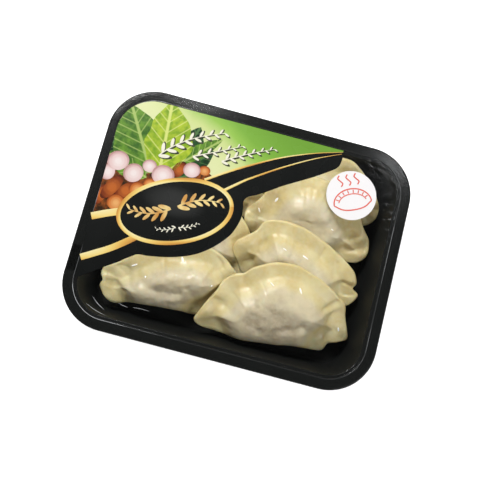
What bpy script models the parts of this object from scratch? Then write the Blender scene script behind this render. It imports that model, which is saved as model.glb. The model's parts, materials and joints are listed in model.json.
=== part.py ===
"""A lidded tray of seven stuffed half-moon dumplings, as chilled pierogi are sold.

A black plastic tray with a flat flange holds two columns of folded dumplings, each
leaning on the one behind it. A clear lidding film closes the tray. A die-cut printed
label and a small round sticker lie on the film.

Metres, +Z up. The origin is at the middle of the tray's underside, X runs along the
tray's long side, and the front of the tray is at -Y.
"""

import math

import bmesh
import bpy
import numpy as np
from mathutils import Matrix, Vector, noise

# Tray
TRAY_LENGTH = 0.227
TRAY_WIDTH = 0.180
TRAY_HEIGHT = 0.040
TRAY_CORNER_RADIUS = 0.0343
TRAY_WALL = 0.0008
FLANGE_WIDTH = 0.010
FLANGE_LIP_DROP = 0.0032
FLANGE_EDGE_ROUND = 0.0008
WALL_TOP_ROUND = 0.0010
WALL_SLOPE = 0.24
FLOOR_FILLET = 0.006
FOOT_RING_WIDTH = 0.009
FLOOR_PANEL_RISE = 0.0012
LEAST_CORNER_RADIUS = 0.010
CORNER_STEPS = 7

# Film, label and sticker
FILM_THICKNESS = 0.00025
FILM_MARGIN = 0.001
LABEL_THICKNESS = 0.0002
LABEL_LEFT = -0.1068
LABEL_BACK = 0.0815
LABEL_CORNER_RADIUS = 0.0265
STICKER_RADIUS = 0.0183
STICKER_CENTRE = (0.0705, 0.0503)
STICKER_SIDES = 48
SHEET_GAP = 0.0003

# The shape that all dumplings share
RIM_WIDTH = 0.012
RIM_THICKNESS = 0.0032
RIM_EDGE_ROUND = 0.0014
BELLY_RISE_RUN = 0.013
FOLD_ROUND_RUN = 0.015
EAR_REACH = 0.024
MIDDLE_SHARE = 0.45
TOP_SIDE_SHARE = 1.06
LUMP_SIZE = 0.015
LUMP_DEPTH = 0.0013
AROUND = 52
FROM_POLE_TO_POLE = 14
CURVE_STEPS = 6
TOUCH_GAP = 0.00035
TOP_CLEARANCE = 0.0006

# A dumpling's outline in its own plane, in millimetres: its pinched rim from the right ear's
# underside over the top to the left ear's, then its fold from left to right
FRONT_RIGHT_RIM = (
    (45, 8), (52, 10), (58, 13), (57, 19), (54, 29), (52, 38), (44, 46), (33, 54), (20, 60), (8, 63),
    (-5, 62), (-17, 57), (-24, 51), (-31, 49), (-38, 43), (-43, 34), (-48, 27), (-53, 18), (-55, 12),
    (-49, 7),
)
FRONT_RIGHT_FOLD = (
    (-38, 4), (-20, 1), (0, 1), (20, 2), (34, 1), (41, 2),
)
SECOND_RIGHT_RIM = (
    (43, 6), (48, 12), (50, 18), (45, 21), (46, 26), (42, 33), (33, 39), (20, 45), (6, 50), (-8, 53),
    (-22, 52), (-32, 48), (-36, 40), (-43, 33), (-48, 27), (-47, 19), (-42, 12),
)
SECOND_RIGHT_FOLD = (
    (-36, 5), (-20, 1), (0, 0), (20, 0), (34, 2),
)
THIRD_RIGHT_RIM = (
    (36, 5), (44, 8), (49, 15), (47, 25), (40, 33), (32, 42), (16, 52), (2, 57), (-12, 56), (-25, 50),
    (-36, 40), (-39, 31), (-43, 24), (-47, 17), (-46, 10),
)
THIRD_RIGHT_FOLD = (
    (-40, 3), (-28, -1), (-10, -1), (10, 0), (27, 2),
)
FRONT_LEFT_RIM = (
    (28, 5), (38, 11), (45, 21), (48, 30), (45, 39), (37, 47), (27, 53), (12, 55), (-4, 53),
    (-18, 47), (-30, 39), (-42, 31), (-50, 26), (-52, 21), (-50, 17), (-51, 12), (-47, 5),
)
FRONT_LEFT_FOLD = (
    (-39, 1), (-28, 3), (-10, 4), (6, 4), (19, 3),
)
SECOND_LEFT_RIM = (
    (48, 0), (56, 7), (57, 17), (53, 28), (48, 37), (38, 46), (24, 53), (6, 56), (-10, 55),
    (-26, 49), (-38, 39), (-46, 28), (-50, 18), (-48, 10),
)
SECOND_LEFT_FOLD = (
    (-38, 4), (-20, 1), (0, 0), (20, 1), (34, 3),
)
BACK_RIGHT_RIM = (
    (35, 3), (41, 10), (41, 20), (32, 33), (23, 41), (13, 48), (3, 49), (-8, 49), (-25, 46),
    (-39, 38), (-49, 27), (-52, 16), (-46, 8),
)
BACK_RIGHT_FOLD = (
    (-32, 3), (-14, 0), (8, 0), (25, 1),
)

# Each dumpling: outline, the fold line's middle with the height of the dumpling's mid-plane
# there, its turn and tilt in degrees, its belly's thickness, then its rim's waves: how many,
# where they start, how high they are in the middle and at the ears, and the two ears' lift
DUMPLINGS = {
    "dumpling_front_right": dict(
        rim=FRONT_RIGHT_RIM, fold=FRONT_RIGHT_FOLD, at=(0.0385, -0.0670, 0.0110), turn=6.0, tilt=25.0,
        belly=0.0275, waves=5.5, start=0.3, ruffle=(0.0009, 0.0020), ears=(0.0060, -0.0010),
    ),
    "dumpling_second_right": dict(
        rim=SECOND_RIGHT_RIM, fold=SECOND_RIGHT_FOLD, at=(0.0440, -0.0280, 0.0108), turn=-4.0, tilt=25.0,
        belly=0.0265, waves=5.5, start=1.7, ruffle=(0.0009, 0.0020), ears=(0.0035, 0.0020),
    ),
    "dumpling_third_right": dict(
        rim=THIRD_RIGHT_RIM, fold=THIRD_RIGHT_FOLD, at=(0.0450, 0.0060, 0.0108), turn=-5.0, tilt=24.0,
        belly=0.0255, waves=6.5, start=0.9, ruffle=(0.0010, 0.0030), ears=(0.0030, 0.0015),
    ),
    "dumpling_front_left": dict(
        rim=FRONT_LEFT_RIM, fold=FRONT_LEFT_FOLD, at=(-0.0380, -0.0640, 0.0108), turn=4.0, tilt=22.0,
        belly=0.0265, waves=5.0, start=2.3, ruffle=(0.0009, 0.0022), ears=(0.0010, -0.0030),
    ),
    "dumpling_second_left": dict(
        rim=SECOND_LEFT_RIM, fold=SECOND_LEFT_FOLD, at=(-0.0440, -0.0230, 0.0108), turn=-2.0, tilt=21.0,
        belly=0.0265, waves=5.0, start=0.2, ruffle=(0.0009, 0.0018), ears=(0.0000, -0.0010),
    ),
    "dumpling_back_right": dict(
        rim=BACK_RIGHT_RIM, fold=BACK_RIGHT_FOLD, at=(0.0540, 0.0360, 0.0110), turn=0.0, tilt=32.0,
        belly=0.0230, waves=5.0, start=1.2, ruffle=(0.0008, 0.0016), ears=(0.0000, 0.0020),
    ),
    "dumpling_back_left": dict(
        rim=SECOND_LEFT_RIM, fold=SECOND_LEFT_FOLD, at=(-0.0460, 0.0190, 0.0108), turn=2.0, tilt=20.0,
        belly=0.0255, waves=4.5, start=1.9, ruffle=(0.0009, 0.0018), ears=(0.0010, -0.0020),
    ),
}


def clear_scene():
    """Removes everything that the scene starts with."""
    for obj in list(bpy.data.objects):
        bpy.data.objects.remove(obj, do_unlink=True)


def new_collection(name):
    """A collection of that name, linked to the scene."""
    collection = bpy.data.collections.new(name)
    bpy.context.scene.collection.children.link(collection)
    return collection


def material(name, colour, roughness, alpha=1.0):
    """A Principled material of one colour."""
    made = bpy.data.materials.new(name)
    made.use_nodes = True
    shader = made.node_tree.nodes["Principled BSDF"]
    shader.inputs["Base Color"].default_value = (*colour, 1.0)
    shader.inputs["Roughness"].default_value = roughness
    shader.inputs["Alpha"].default_value = alpha
    made.diffuse_color = (*colour, alpha)
    return made


def mixed(first, second, share):
    """The value at that share of the way from first to second."""
    return first + (second - first) * share


def tray_profile():
    """(inset from the flange's outer edge, height) of the tray's upper face, from lip to floor."""
    wall_top = FLANGE_WIDTH + WALL_TOP_ROUND
    fillet_top = TRAY_WALL + FLOOR_FILLET
    wall_foot = wall_top + WALL_SLOPE * (TRAY_HEIGHT - WALL_TOP_ROUND - fillet_top)
    fillet_reach = 0.8 * FLOOR_FILLET
    ring_outer = wall_foot + fillet_reach
    ring_inner = ring_outer + FOOT_RING_WIDTH
    return [
        (0.0, TRAY_HEIGHT - FLANGE_LIP_DROP),
        (0.0, TRAY_HEIGHT - FLANGE_EDGE_ROUND),
        (FLANGE_EDGE_ROUND, TRAY_HEIGHT),
        (FLANGE_WIDTH, TRAY_HEIGHT),
        (wall_top, TRAY_HEIGHT - WALL_TOP_ROUND),
        (wall_foot, fillet_top),
        (wall_foot + 0.28 * fillet_reach, TRAY_WALL + 0.35 * FLOOR_FILLET),
        (ring_outer, TRAY_WALL),
        (ring_inner, TRAY_WALL),
        (ring_inner + 2 * FLOOR_PANEL_RISE, TRAY_WALL + FLOOR_PANEL_RISE),
    ]


def corner_radius(inset):
    """The tray's corner radius at that inset from the flange's outer edge."""
    return max(LEAST_CORNER_RADIUS, TRAY_CORNER_RADIUS - inset)


def rounded_rectangle(half_x, half_y, radius, steps):
    """Points of a rounded rectangle round the origin, anticlockwise."""
    points = []
    for corner, (side_x, side_y) in enumerate(((1, 1), (-1, 1), (-1, -1), (1, -1))):
        centre_x = side_x * (half_x - radius)
        centre_y = side_y * (half_y - radius)
        for step in range(steps + 1):
            angle = math.pi / 2 * (corner + step / steps)
            points.append((centre_x + radius * math.cos(angle), centre_y + radius * math.sin(angle)))
    return points


def add_object(collection, name, mesh, finish):
    """Links a mesh as an object of that name with one material."""
    obj = bpy.data.objects.new(name, mesh)
    mesh.materials.append(finish)
    collection.objects.link(obj)
    return obj


def smooth_shaded(mesh, angle):
    """Shades a mesh smooth, with edges sharper than the angle kept."""
    mesh.shade_smooth()
    mesh.set_sharp_from_angle(angle=math.radians(angle))


def make_tray(collection, finish):
    """The thermoformed tray: one sheet lofted from lip to floor, given its wall by Solidify."""
    shape = bmesh.new()
    loops = []
    for inset, height in tray_profile():
        outline = rounded_rectangle(
            TRAY_LENGTH / 2 - inset, TRAY_WIDTH / 2 - inset, corner_radius(inset), CORNER_STEPS
        )
        loops.append([shape.verts.new((x, y, height)) for x, y in outline])
    for outer, inner in zip(loops, loops[1:]):
        for i in range(len(outer)):
            following = (i + 1) % len(outer)
            shape.faces.new((outer[i], outer[following], inner[following], inner[i]))
    shape.faces.new(loops[-1])
    mesh = bpy.data.meshes.new("tray")
    shape.to_mesh(mesh)
    shape.free()
    tray = add_object(collection, "tray", mesh, finish)
    wall = tray.modifiers.new("wall", "SOLIDIFY")
    wall.thickness = TRAY_WALL
    wall.offset = -1.0
    wall.use_even_offset = True
    smooth_shaded(mesh, 40)
    return tray


def flat_sheet(collection, name, points, corners, height, thickness, finish):
    """A flat sheet from a closed Bezier outline, its underside at that height.

    Points in corners are sharp, and the outline runs smoothly through the others.
    """
    curve = bpy.data.curves.new(name, "CURVE")
    curve.dimensions = "2D"
    curve.fill_mode = "BOTH"
    curve.extrude = thickness / 2
    curve.resolution_u = 6
    spline = curve.splines.new("BEZIER")
    spline.bezier_points.add(len(points) - 1)
    for place, (x, y) in zip(spline.bezier_points, points):
        place.co = (x, y, 0)
        kind = "VECTOR" if (x, y) in corners else "AUTO"
        place.handle_left_type = place.handle_right_type = kind
    spline.use_cyclic_u = True
    sheet = bpy.data.objects.new(name, curve)
    collection.objects.link(sheet)
    sheet.location.z = height + thickness / 2
    curve.materials.append(finish)
    return sheet


def make_film(collection, finish):
    """The clear lidding film, a flat sheet just inside the flange's edge."""
    height = TRAY_HEIGHT + SHEET_GAP
    outline = rounded_rectangle(
        TRAY_LENGTH / 2 - FILM_MARGIN,
        TRAY_WIDTH / 2 - FILM_MARGIN,
        TRAY_CORNER_RADIUS - FILM_MARGIN,
        CORNER_STEPS,
    )
    curve = bpy.data.curves.new("film", "CURVE")
    curve.dimensions = "2D"
    curve.fill_mode = "BOTH"
    curve.extrude = FILM_THICKNESS / 2
    spline = curve.splines.new("POLY")
    spline.points.add(len(outline) - 1)
    for place, (x, y) in zip(spline.points, outline):
        place.co = (x, y, 0, 1)
    spline.use_cyclic_u = True
    film = bpy.data.objects.new("film", curve)
    collection.objects.link(film)
    film.location.z = height + FILM_THICKNESS / 2
    curve.materials.append(finish)
    return film


def label_outline():
    """(outline points, sharp points) of the label: the tray's back left corner and a waved lower edge."""
    radius = LABEL_CORNER_RADIUS
    arc = [
        (
            LABEL_LEFT + radius - radius * math.sin(math.radians(angle)),
            LABEL_BACK - radius + radius * math.cos(math.radians(angle)),
        )
        for angle in range(0, 91, 10)
    ]
    foot = (-0.1046, -0.0590)
    knee = (-0.0715, -0.0336)
    tip = (0.0576, LABEL_BACK)
    lower = [
        (-0.0585, -0.0304),
        (-0.0437, -0.0273),
        (-0.0224, -0.0174),
        (-0.0074, -0.0015),
        (-0.0026, 0.0138),
        (-0.0040, 0.0258),
        (0.0041, 0.0326),
        (0.0209, 0.0442),
        (0.0510, 0.0636),
        (0.0575, 0.0720),
    ]
    return arc + [foot, knee] + lower + [tip], {*arc, foot, knee, tip}


def make_label(collection, finish):
    """The printed label on the film, cut along the tray's corner and round its oval."""
    points, corners = label_outline()
    height = TRAY_HEIGHT + FILM_THICKNESS + 2 * SHEET_GAP
    return flat_sheet(collection, "label", points, corners, height, LABEL_THICKNESS, finish)


def make_sticker(collection, finish):
    """The round white sticker on the film's clear part."""
    height = TRAY_HEIGHT + FILM_THICKNESS + 2 * SHEET_GAP
    bpy.ops.mesh.primitive_cylinder_add(
        vertices=STICKER_SIDES,
        radius=STICKER_RADIUS,
        depth=LABEL_THICKNESS,
        location=(*STICKER_CENTRE, height + LABEL_THICKNESS / 2),
    )
    sticker = bpy.context.object
    sticker.name = sticker.data.name = "sticker"
    bpy.context.collection.objects.unlink(sticker)
    collection.objects.link(sticker)
    sticker.data.materials.append(finish)
    return sticker


def smooth_line(points, steps):
    """A closed Catmull-Rom line through the points, with that many steps between each two."""
    before = np.roll(points, 1, axis=0)
    after = np.roll(points, -1, axis=0)
    beyond = np.roll(points, -2, axis=0)
    stretches = []
    for share in np.arange(steps) / steps:
        stretches.append(
            0.5
            * (
                2 * points
                + (after - before) * share
                + (2 * before - 5 * points + 4 * after - beyond) * share**2
                + (3 * points - before - 3 * after + beyond) * share**3
            )
        )
    return np.stack(stretches, axis=1).reshape(-1, 2)


def nearest_on(places, line):
    """(distance, how far along the line as a share) of each place's nearest point on an open line."""
    starts = line[:-1]
    runs = line[1:] - starts
    lengths = np.linalg.norm(runs, axis=1)
    along = np.concatenate(([0.0], np.cumsum(lengths)))
    offsets = places[:, None, :] - starts[None, :, :]
    shares = np.clip((offsets * runs).sum(axis=2) / lengths**2, 0.0, 1.0)
    gaps = np.linalg.norm(offsets - shares[:, :, None] * runs, axis=2)
    nearest = gaps.argmin(axis=1)
    rows = np.arange(len(places))
    reached = along[nearest] + shares[rows, nearest] * lengths[nearest]
    return gaps[rows, nearest], reached / along[-1]


def ramp(low, high, values):
    """0 below low, 1 above high, and a smooth rise between, for an array."""
    share = np.clip((values - low) / (high - low), 0.0, 1.0)
    return share * share * (3.0 - 2.0 * share)


def rounded(distances, run):
    """A quarter circle's rise from 0 at no distance to 1 from run on."""
    return np.sqrt(1.0 - (1.0 - np.clip(distances / run, 0.0, 1.0)) ** 2)


def outline_lines(spec):
    """(closed outline, its rim part, its fold part) of a dumpling, in metres."""
    rim_count = len(spec["rim"]) * CURVE_STEPS
    closed = smooth_line(np.array(spec["rim"] + spec["fold"]) / 1000.0, CURVE_STEPS)
    rim = closed[: rim_count - CURVE_STEPS // 2]
    fold = np.concatenate((closed[rim_count - CURVE_STEPS // 2 :], closed[:1]))
    return closed, rim, fold


def evenly_along(closed, count):
    """That many points at even distances along a closed line."""
    looped = np.concatenate((closed, closed[:1]))
    along = np.concatenate(([0.0], np.cumsum(np.linalg.norm(np.diff(looped, axis=0), axis=1))))
    stops = np.arange(count) / count * along[-1]
    return np.stack([np.interp(stops, along, looped[:, axis]) for axis in (0, 1)], axis=1)


def flat_rings(spec):
    """The rings of a dumpling's flat half-moon, from its outline in to its middle point."""
    closed = outline_lines(spec)[0]
    edge = evenly_along(closed, AROUND)
    middle = np.array([0.0, MIDDLE_SHARE * closed[:, 1].max()])
    rays = middle - edge
    reach = np.linalg.norm(rays, axis=1)
    last = FROM_POLE_TO_POLE // 2
    rim_steps = np.array([0.0, 0.0009, 0.0065, RIM_WIDTH])
    rings = []
    for ring in range(last + 1):
        if ring < len(rim_steps):
            inside = np.minimum(rim_steps[ring], 0.7 * ring / len(rim_steps) * reach)
        else:
            start = np.minimum(rim_steps[-1], 0.7 * (1 - 1 / len(rim_steps)) * reach)
            inside = start + (reach - start) * (ring - len(rim_steps) + 1) / (last - len(rim_steps) + 1)
        rings.append(edge + rays * (inside / reach)[:, None])
    return rings


def swelling(places, spec):
    """(half the thickness, rise of the mid-plane) of a dumpling at places in its flat half-moon."""
    rim_line, fold_line = outline_lines(spec)[1:]
    to_rim, along = nearest_on(places, rim_line)
    to_fold = nearest_on(places, fold_line)[0]
    half_rim = RIM_THICKNESS / 2
    belly = spec["belly"] / 2
    risen = np.sin(math.pi / 2 * ramp(0.0, 1.0, (to_rim - 0.9 * RIM_WIDTH) / BELLY_RISE_RUN))
    at_rim = half_rim * rounded(to_rim, RIM_EDGE_ROUND) + (belly - half_rim) * risen
    thickness = at_rim * rounded(to_fold, FOLD_ROUND_RUN)
    middle_height, ear_height = spec["ruffle"]
    height = middle_height + (ear_height - middle_height) * np.abs(2 * along - 1) ** 2
    near_rim = 1.0 - ramp(0.0, 1.5 * RIM_WIDTH, to_rim)
    wave = height * np.sin(2 * math.pi * spec["waves"] * along + spec["start"]) * near_rim
    half_length = np.abs(rim_line[:, 0]).max()
    left, right = spec["ears"]
    near_end = ramp(half_length - EAR_REACH, half_length, np.abs(places[:, 0]))
    return thickness, wave + near_end * np.where(places[:, 0] > 0, right, left)


def dumpling_rings(spec, seed):
    """Rings of points over a dumpling, from the middle of its top cheek round to the lower one."""
    flat = flat_rings(spec)
    rings = []
    for side, order in ((1, reversed(range(len(flat)))), (-1, range(1, len(flat)))):
        share = TOP_SIDE_SHARE if side > 0 else 2 - TOP_SIDE_SHARE
        for ring in order:
            thickness, rise = swelling(flat[ring], spec)
            if ring == 0:
                thickness = np.zeros(len(thickness))
            points = []
            for (x, y), half, lift in zip(flat[ring], thickness, rise):
                spot = Vector((x / LUMP_SIZE, y / LUMP_SIZE, seed * 3.7 + 4.5 * side))
                lump = LUMP_DEPTH * noise.noise(spot) * min(1.0, 2 * half / spec["belly"])
                points.append(Vector((x, y, side * share * (half + lump) + lift)))
            rings.append(points)
    return rings


def dumpling_matrix(spec):
    """Where a dumpling lies: tilted back about its fold, then turned in the tray."""
    turn = Matrix.Rotation(math.radians(spec["turn"]), 4, "Z")
    tilt = Matrix.Rotation(math.radians(spec["tilt"]), 4, "X")
    return Matrix.Translation(spec["at"]) @ turn @ tilt


def tray_inset(height):
    """How far the tray's inner face lies from the flange's outer edge at that height."""
    profile = tray_profile()[3:8]
    for (outer, high), (inner, low) in zip(profile, profile[1:]):
        if height >= low:
            return mixed(outer, inner, (high - min(height, high)) / (high - low))
    return profile[-1][0]


def kept_in_tray(point):
    """The point, moved clear of the tray's floor and walls and of the film."""
    lowest = TRAY_WALL + FLOOR_PANEL_RISE + TOUCH_GAP
    z = min(max(point.z, lowest), TRAY_HEIGHT - TOP_CLEARANCE)
    inset = tray_inset(z) + TOUCH_GAP
    radius = corner_radius(inset)
    core_x = TRAY_LENGTH / 2 - inset - radius
    core_y = TRAY_WIDTH / 2 - inset - radius
    over = Vector((max(0.0, abs(point.x) - core_x), max(0.0, abs(point.y) - core_y)))
    if over.length > radius:
        over *= radius / over.length
    x = math.copysign(min(abs(point.x), core_x) + over.x, point.x)
    y = math.copysign(min(abs(point.y), core_y) + over.y, point.y)
    return Vector((x, y, z))


def dumpling_mesh(name, spec, seed):
    """A sphere reshaped into one dumpling: its poles become the middle of each cheek."""
    shape = bmesh.new()
    bmesh.ops.create_uvsphere(shape, u_segments=AROUND, v_segments=FROM_POLE_TO_POLE, radius=1.0)
    rings = dumpling_rings(spec, seed)
    matrix = dumpling_matrix(spec)
    for vertex in shape.verts:
        around = math.atan2(vertex.co.y, vertex.co.x) / (2 * math.pi) * AROUND
        from_top = math.acos(max(-1.0, min(1.0, vertex.co.z))) / math.pi * FROM_POLE_TO_POLE
        place = rings[round(from_top)][round(around) % AROUND]
        vertex.co = kept_in_tray(matrix @ place)
    bmesh.ops.triangulate(shape, faces=shape.faces)
    bmesh.ops.recalc_face_normals(shape, faces=shape.faces)
    mesh = bpy.data.meshes.new(name)
    shape.to_mesh(mesh)
    shape.free()
    return mesh


def swollen_copy(collection, obj, by):
    """A hidden cutter: the object's mesh, grown outwards along its normals."""
    mesh = obj.data.copy()
    shape = bmesh.new()
    shape.from_mesh(mesh)
    shape.normal_update()
    for vertex, normal in [(v, v.normal.copy()) for v in shape.verts]:
        vertex.co += normal * by
    shape.to_mesh(mesh)
    shape.free()
    cutter = bpy.data.objects.new("cut_" + obj.name, mesh)
    collection.objects.link(cutter)
    cutter.hide_render = True
    cutter.display_type = "WIRE"
    return cutter


def make_dumplings(collection, cutters, finish):
    """All seven dumplings, from the top one down; each is pressed in where one above lies on it."""
    above = []
    for seed, (name, spec) in enumerate(DUMPLINGS.items()):
        mesh = dumpling_mesh(name, spec, seed)
        dumpling = add_object(collection, name, mesh, finish)
        for cutter in above:
            pressed = dumpling.modifiers.new("pressed_by_" + cutter.name, "BOOLEAN")
            pressed.operation = "DIFFERENCE"
            pressed.object = cutter
        above.append(swollen_copy(cutters, dumpling, TOUCH_GAP))
        smooth_shaded(mesh, 60)


def main():
    clear_scene()
    parts = new_collection("dumpling_tray")
    cutters = new_collection("cutters")
    cutters.hide_render = True
    make_tray(parts, material("black_plastic", (0.012, 0.012, 0.012), 0.35))
    make_dumplings(parts, cutters, material("boiled_dough", (0.72, 0.62, 0.38), 0.35))
    make_film(parts, material("clear_film", (0.9, 0.9, 0.9), 0.08, alpha=0.12))
    make_label(parts, material("label_print", (0.02, 0.02, 0.02), 0.3))
    make_sticker(parts, material("sticker_paper", (0.9, 0.9, 0.9), 0.5))


main()
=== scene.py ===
"""The looks of a sealed tray of folded half-moon dumplings under clear film, with a printed label."""

import json
import math

import bmesh
import bpy
import numpy as np
from mathutils import Matrix, Vector, noise
from mathutils.bvhtree import BVHTree

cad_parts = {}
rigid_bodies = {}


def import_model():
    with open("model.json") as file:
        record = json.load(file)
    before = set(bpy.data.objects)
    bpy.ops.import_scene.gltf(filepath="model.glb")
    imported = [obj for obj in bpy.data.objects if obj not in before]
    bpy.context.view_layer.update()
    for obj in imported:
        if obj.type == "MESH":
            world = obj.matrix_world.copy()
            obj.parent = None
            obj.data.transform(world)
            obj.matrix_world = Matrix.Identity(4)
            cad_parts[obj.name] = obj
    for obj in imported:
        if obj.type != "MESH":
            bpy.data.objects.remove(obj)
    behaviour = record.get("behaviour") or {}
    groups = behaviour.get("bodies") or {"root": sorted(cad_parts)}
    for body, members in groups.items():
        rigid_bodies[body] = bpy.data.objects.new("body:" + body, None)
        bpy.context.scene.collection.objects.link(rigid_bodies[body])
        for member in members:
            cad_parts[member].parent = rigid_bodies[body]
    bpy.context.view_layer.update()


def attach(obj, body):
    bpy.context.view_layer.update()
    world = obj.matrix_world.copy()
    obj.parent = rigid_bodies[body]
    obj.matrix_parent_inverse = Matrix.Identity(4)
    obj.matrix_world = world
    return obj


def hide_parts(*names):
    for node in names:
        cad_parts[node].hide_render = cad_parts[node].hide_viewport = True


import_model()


# The tray. Thermoformed from one sheet of black polypropylene: a flat flange with a lip that
# turns down, a shallow step inside it for the seal, sloping walls, and a floor that stands on a
# flat ring. The sheet is lofted from lip to floor and then given its thickness.

TRAY_LENGTH = 0.227
TRAY_WIDTH = 0.180
TRAY_HEIGHT = 0.040
TRAY_CORNER_RADIUS = 0.0343
TRAY_WALL = 0.0008
FLANGE_WIDTH = 0.010
LIP_DROP = 0.0032
LIP_ROUND = 0.0012
SEAL_STEP = 0.0005
SEAL_STEP_INSET = 0.0079
SEAL_STEP_ROUND = 0.0004
SEAL_STEP_REACH = 0.0006
WALL_TOP_ROUND = 0.0010
WALL_SLOPE = 0.24
FLOOR_FILLET = 0.006
FOOT_RING_WIDTH = 0.009
FLOOR_PANEL_RISE = 0.0012
FLOOR_PANEL_RAMP = 0.003
FLOOR_PANEL_ROUNDS = (0.0012, 0.0014)
FLOOR_PANEL_REACH = 0.012
LEAST_CORNER_RADIUS = 0.010
CORNER_STEPS = 24
SHARP_FROM = math.radians(50)
TRAY_BLACK = (0.0078, 0.0085, 0.0080)


class Signal:
    """One output of a finish's nodes that sums can be written with; each sum adds its Math node."""

    def __init__(self, finish, socket):
        self.finish = finish
        self.socket = socket

    def math(self, operation, first, second=0.0):
        """What a Math node makes of two numbers."""
        return self.finish.node("Math", {"operation": operation}, {0: first, 1: second})

    def __add__(self, other):
        return self.math("ADD", self, other)

    def __sub__(self, other):
        return self.math("SUBTRACT", self, other)

    def __rsub__(self, other):
        return self.math("SUBTRACT", other, self)

    def __mul__(self, other):
        return self.math("MULTIPLY", self, other)

    def __pow__(self, other):
        return self.math("POWER", self, other)

    __radd__ = __add__
    __rmul__ = __mul__

    def between(self, low, high):
        """0 below low, 1 above high, and a smooth rise between."""
        settings = {"interpolation_type": "SMOOTHSTEP"}
        return self.finish.node("MapRange", settings, {"Value": self, "From Min": low, "From Max": high})


class Finish:
    """One procedural material: a Principled shader, its constants, and the nodes that vary it."""

    def __init__(self, name, **constants):
        self.material = bpy.data.materials.new(name)
        self.material.use_nodes = True
        self.tree = self.material.node_tree
        self.shader = self.tree.nodes["Principled BSDF"]
        for socket, value in constants.items():
            self.shader.inputs[socket.replace("_", " ")].default_value = value

    def node(self, kind, settings=None, inputs=None, output=0):
        """Adds a node with its settings first and then its sockets' values or links."""
        made = self.tree.nodes.new("ShaderNode" + kind)
        for setting, value in (settings or {}).items():
            if setting == "stops":
                while len(made.color_ramp.elements) < len(value):
                    made.color_ramp.elements.new(0.5)
                for element, (position, colour) in zip(made.color_ramp.elements, value):
                    element.position = position
                    element.color = (*colour, 1.0)
            else:
                setattr(made, setting, value)
        for socket, value in (inputs or {}).items():
            if isinstance(value, Signal):
                self.tree.links.new(value.socket, made.inputs[socket])
            else:
                made.inputs[socket].default_value = value
        return Signal(self, made.outputs[output])

    def place(self):
        """The point on the piece, in the tray's own frame."""
        return self.node("TexCoord", output="Object")

    def axis(self, number, where=None):
        """One number of a point: 0 across the tray, 1 towards its back, 2 up."""
        return self.node("SeparateXYZ", None, {0: where or self.place()}, output=number)

    def noise(self, scale, detail=2.0, roughness=0.5, stretch=None):
        """Smooth noise from 0 to 1, finer with a larger scale."""
        where = self.place()
        if stretch:
            where = self.node("Mapping", None, {"Vector": where, "Scale": stretch})
        inputs = {"Vector": where, "Scale": scale, "Detail": detail, "Roughness": roughness}
        return self.node("TexNoise", None, inputs)

    def attribute(self, name):
        """A number that the piece's points carry."""
        return self.node("Attribute", {"attribute_name": name}, output="Fac")

    def blend(self, share, first, second):
        """The colour at that share of the way from first to second."""
        first, second = ((*c, 1.0) if isinstance(c, tuple) else c for c in (first, second))
        settings = {"data_type": "RGBA", "clamp_factor": True}
        return self.node("Mix", settings, {0: share, 6: first, 7: second}, output=2)

    def drive(self, **sockets):
        """Links signals to the shader's own sockets."""
        for socket, value in sockets.items():
            self.tree.links.new(value.socket, self.shader.inputs[socket.replace("_", " ")])

    def bump(self, height, distance, strength=1.0):
        """Fine relief whose full height is a distance in metres."""
        inputs = {"Height": height, "Distance": distance, "Strength": strength}
        self.drive(Normal=self.node("Bump", None, inputs))


def corner_radius(inset):
    """The tray's corner radius at that inset from the flange's outer edge."""
    return np.maximum(LEAST_CORNER_RADIUS, TRAY_CORNER_RADIUS - inset)


def rounded_rectangle(inset, steps=CORNER_STEPS):
    """Points of the tray's outline at that inset, anticlockwise."""
    radius = corner_radius(inset)
    half_x = TRAY_LENGTH / 2 - inset - radius
    half_y = TRAY_WIDTH / 2 - inset - radius
    points = []
    for corner, (side_x, side_y) in enumerate(((1, 1), (-1, 1), (-1, -1), (1, -1))):
        for angle in np.linspace(0, math.pi / 2, steps + 1) + corner * math.pi / 2:
            x = side_x * half_x + radius * math.cos(angle)
            y = side_y * half_y + radius * math.sin(angle)
            points.append((x, y))
    return np.array(points)


def softened(corners, steps=5):
    """A profile through (inset, height, radius) corners, each rounded by an arc of that radius."""
    points = [corners[0][:2]]
    for before, corner, after in zip(corners, corners[1:], corners[2:]):
        here = np.array(corner[:2])
        back = np.array(before[:2]) - here
        on = np.array(after[:2]) - here
        back /= np.linalg.norm(back)
        on /= np.linalg.norm(on)
        half_turn = math.acos(np.clip(back @ on, -1, 1)) / 2
        reach = corner[2] / math.tan(half_turn)
        bisector = (back + on) / np.linalg.norm(back + on)
        centre = here + bisector * corner[2] / math.sin(half_turn)
        for share in np.linspace(0, 1, steps + 1):
            spoke = (here + back * reach) * (1 - share) + (here + on * reach) * share - centre
            points.append(tuple(centre + spoke / np.linalg.norm(spoke) * corner[2]))
    points.append(corners[-1][:2])
    return points


def lofted(name, loops):
    """A mesh of rings of points, each joined to the next, with the last ring capped."""
    shape = bmesh.new()
    rings = [[shape.verts.new(p) for p in loop] for loop in loops]
    for outer, inner in zip(rings, rings[1:]):
        for i in range(len(outer)):
            j = (i + 1) % len(outer)
            shape.faces.new((outer[i], outer[j], inner[j], inner[i]))
    shape.faces.new(rings[-1])
    mesh = bpy.data.meshes.new(name)
    shape.to_mesh(mesh)
    shape.free()
    return mesh


def placed(name, mesh, material):
    """A mesh as an object of the scene, in one material."""
    piece = bpy.data.objects.new(name, mesh)
    bpy.context.scene.collection.objects.link(piece)
    mesh.materials.clear()
    mesh.materials.append(material)
    return piece


def finalised(piece):
    """Applies a piece's modifiers, so that its mesh is what shows."""
    evaluated = piece.evaluated_get(bpy.context.evaluated_depsgraph_get())
    mesh = bpy.data.meshes.new_from_object(evaluated)
    piece.modifiers.clear()
    piece.data = mesh
    return piece


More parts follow.
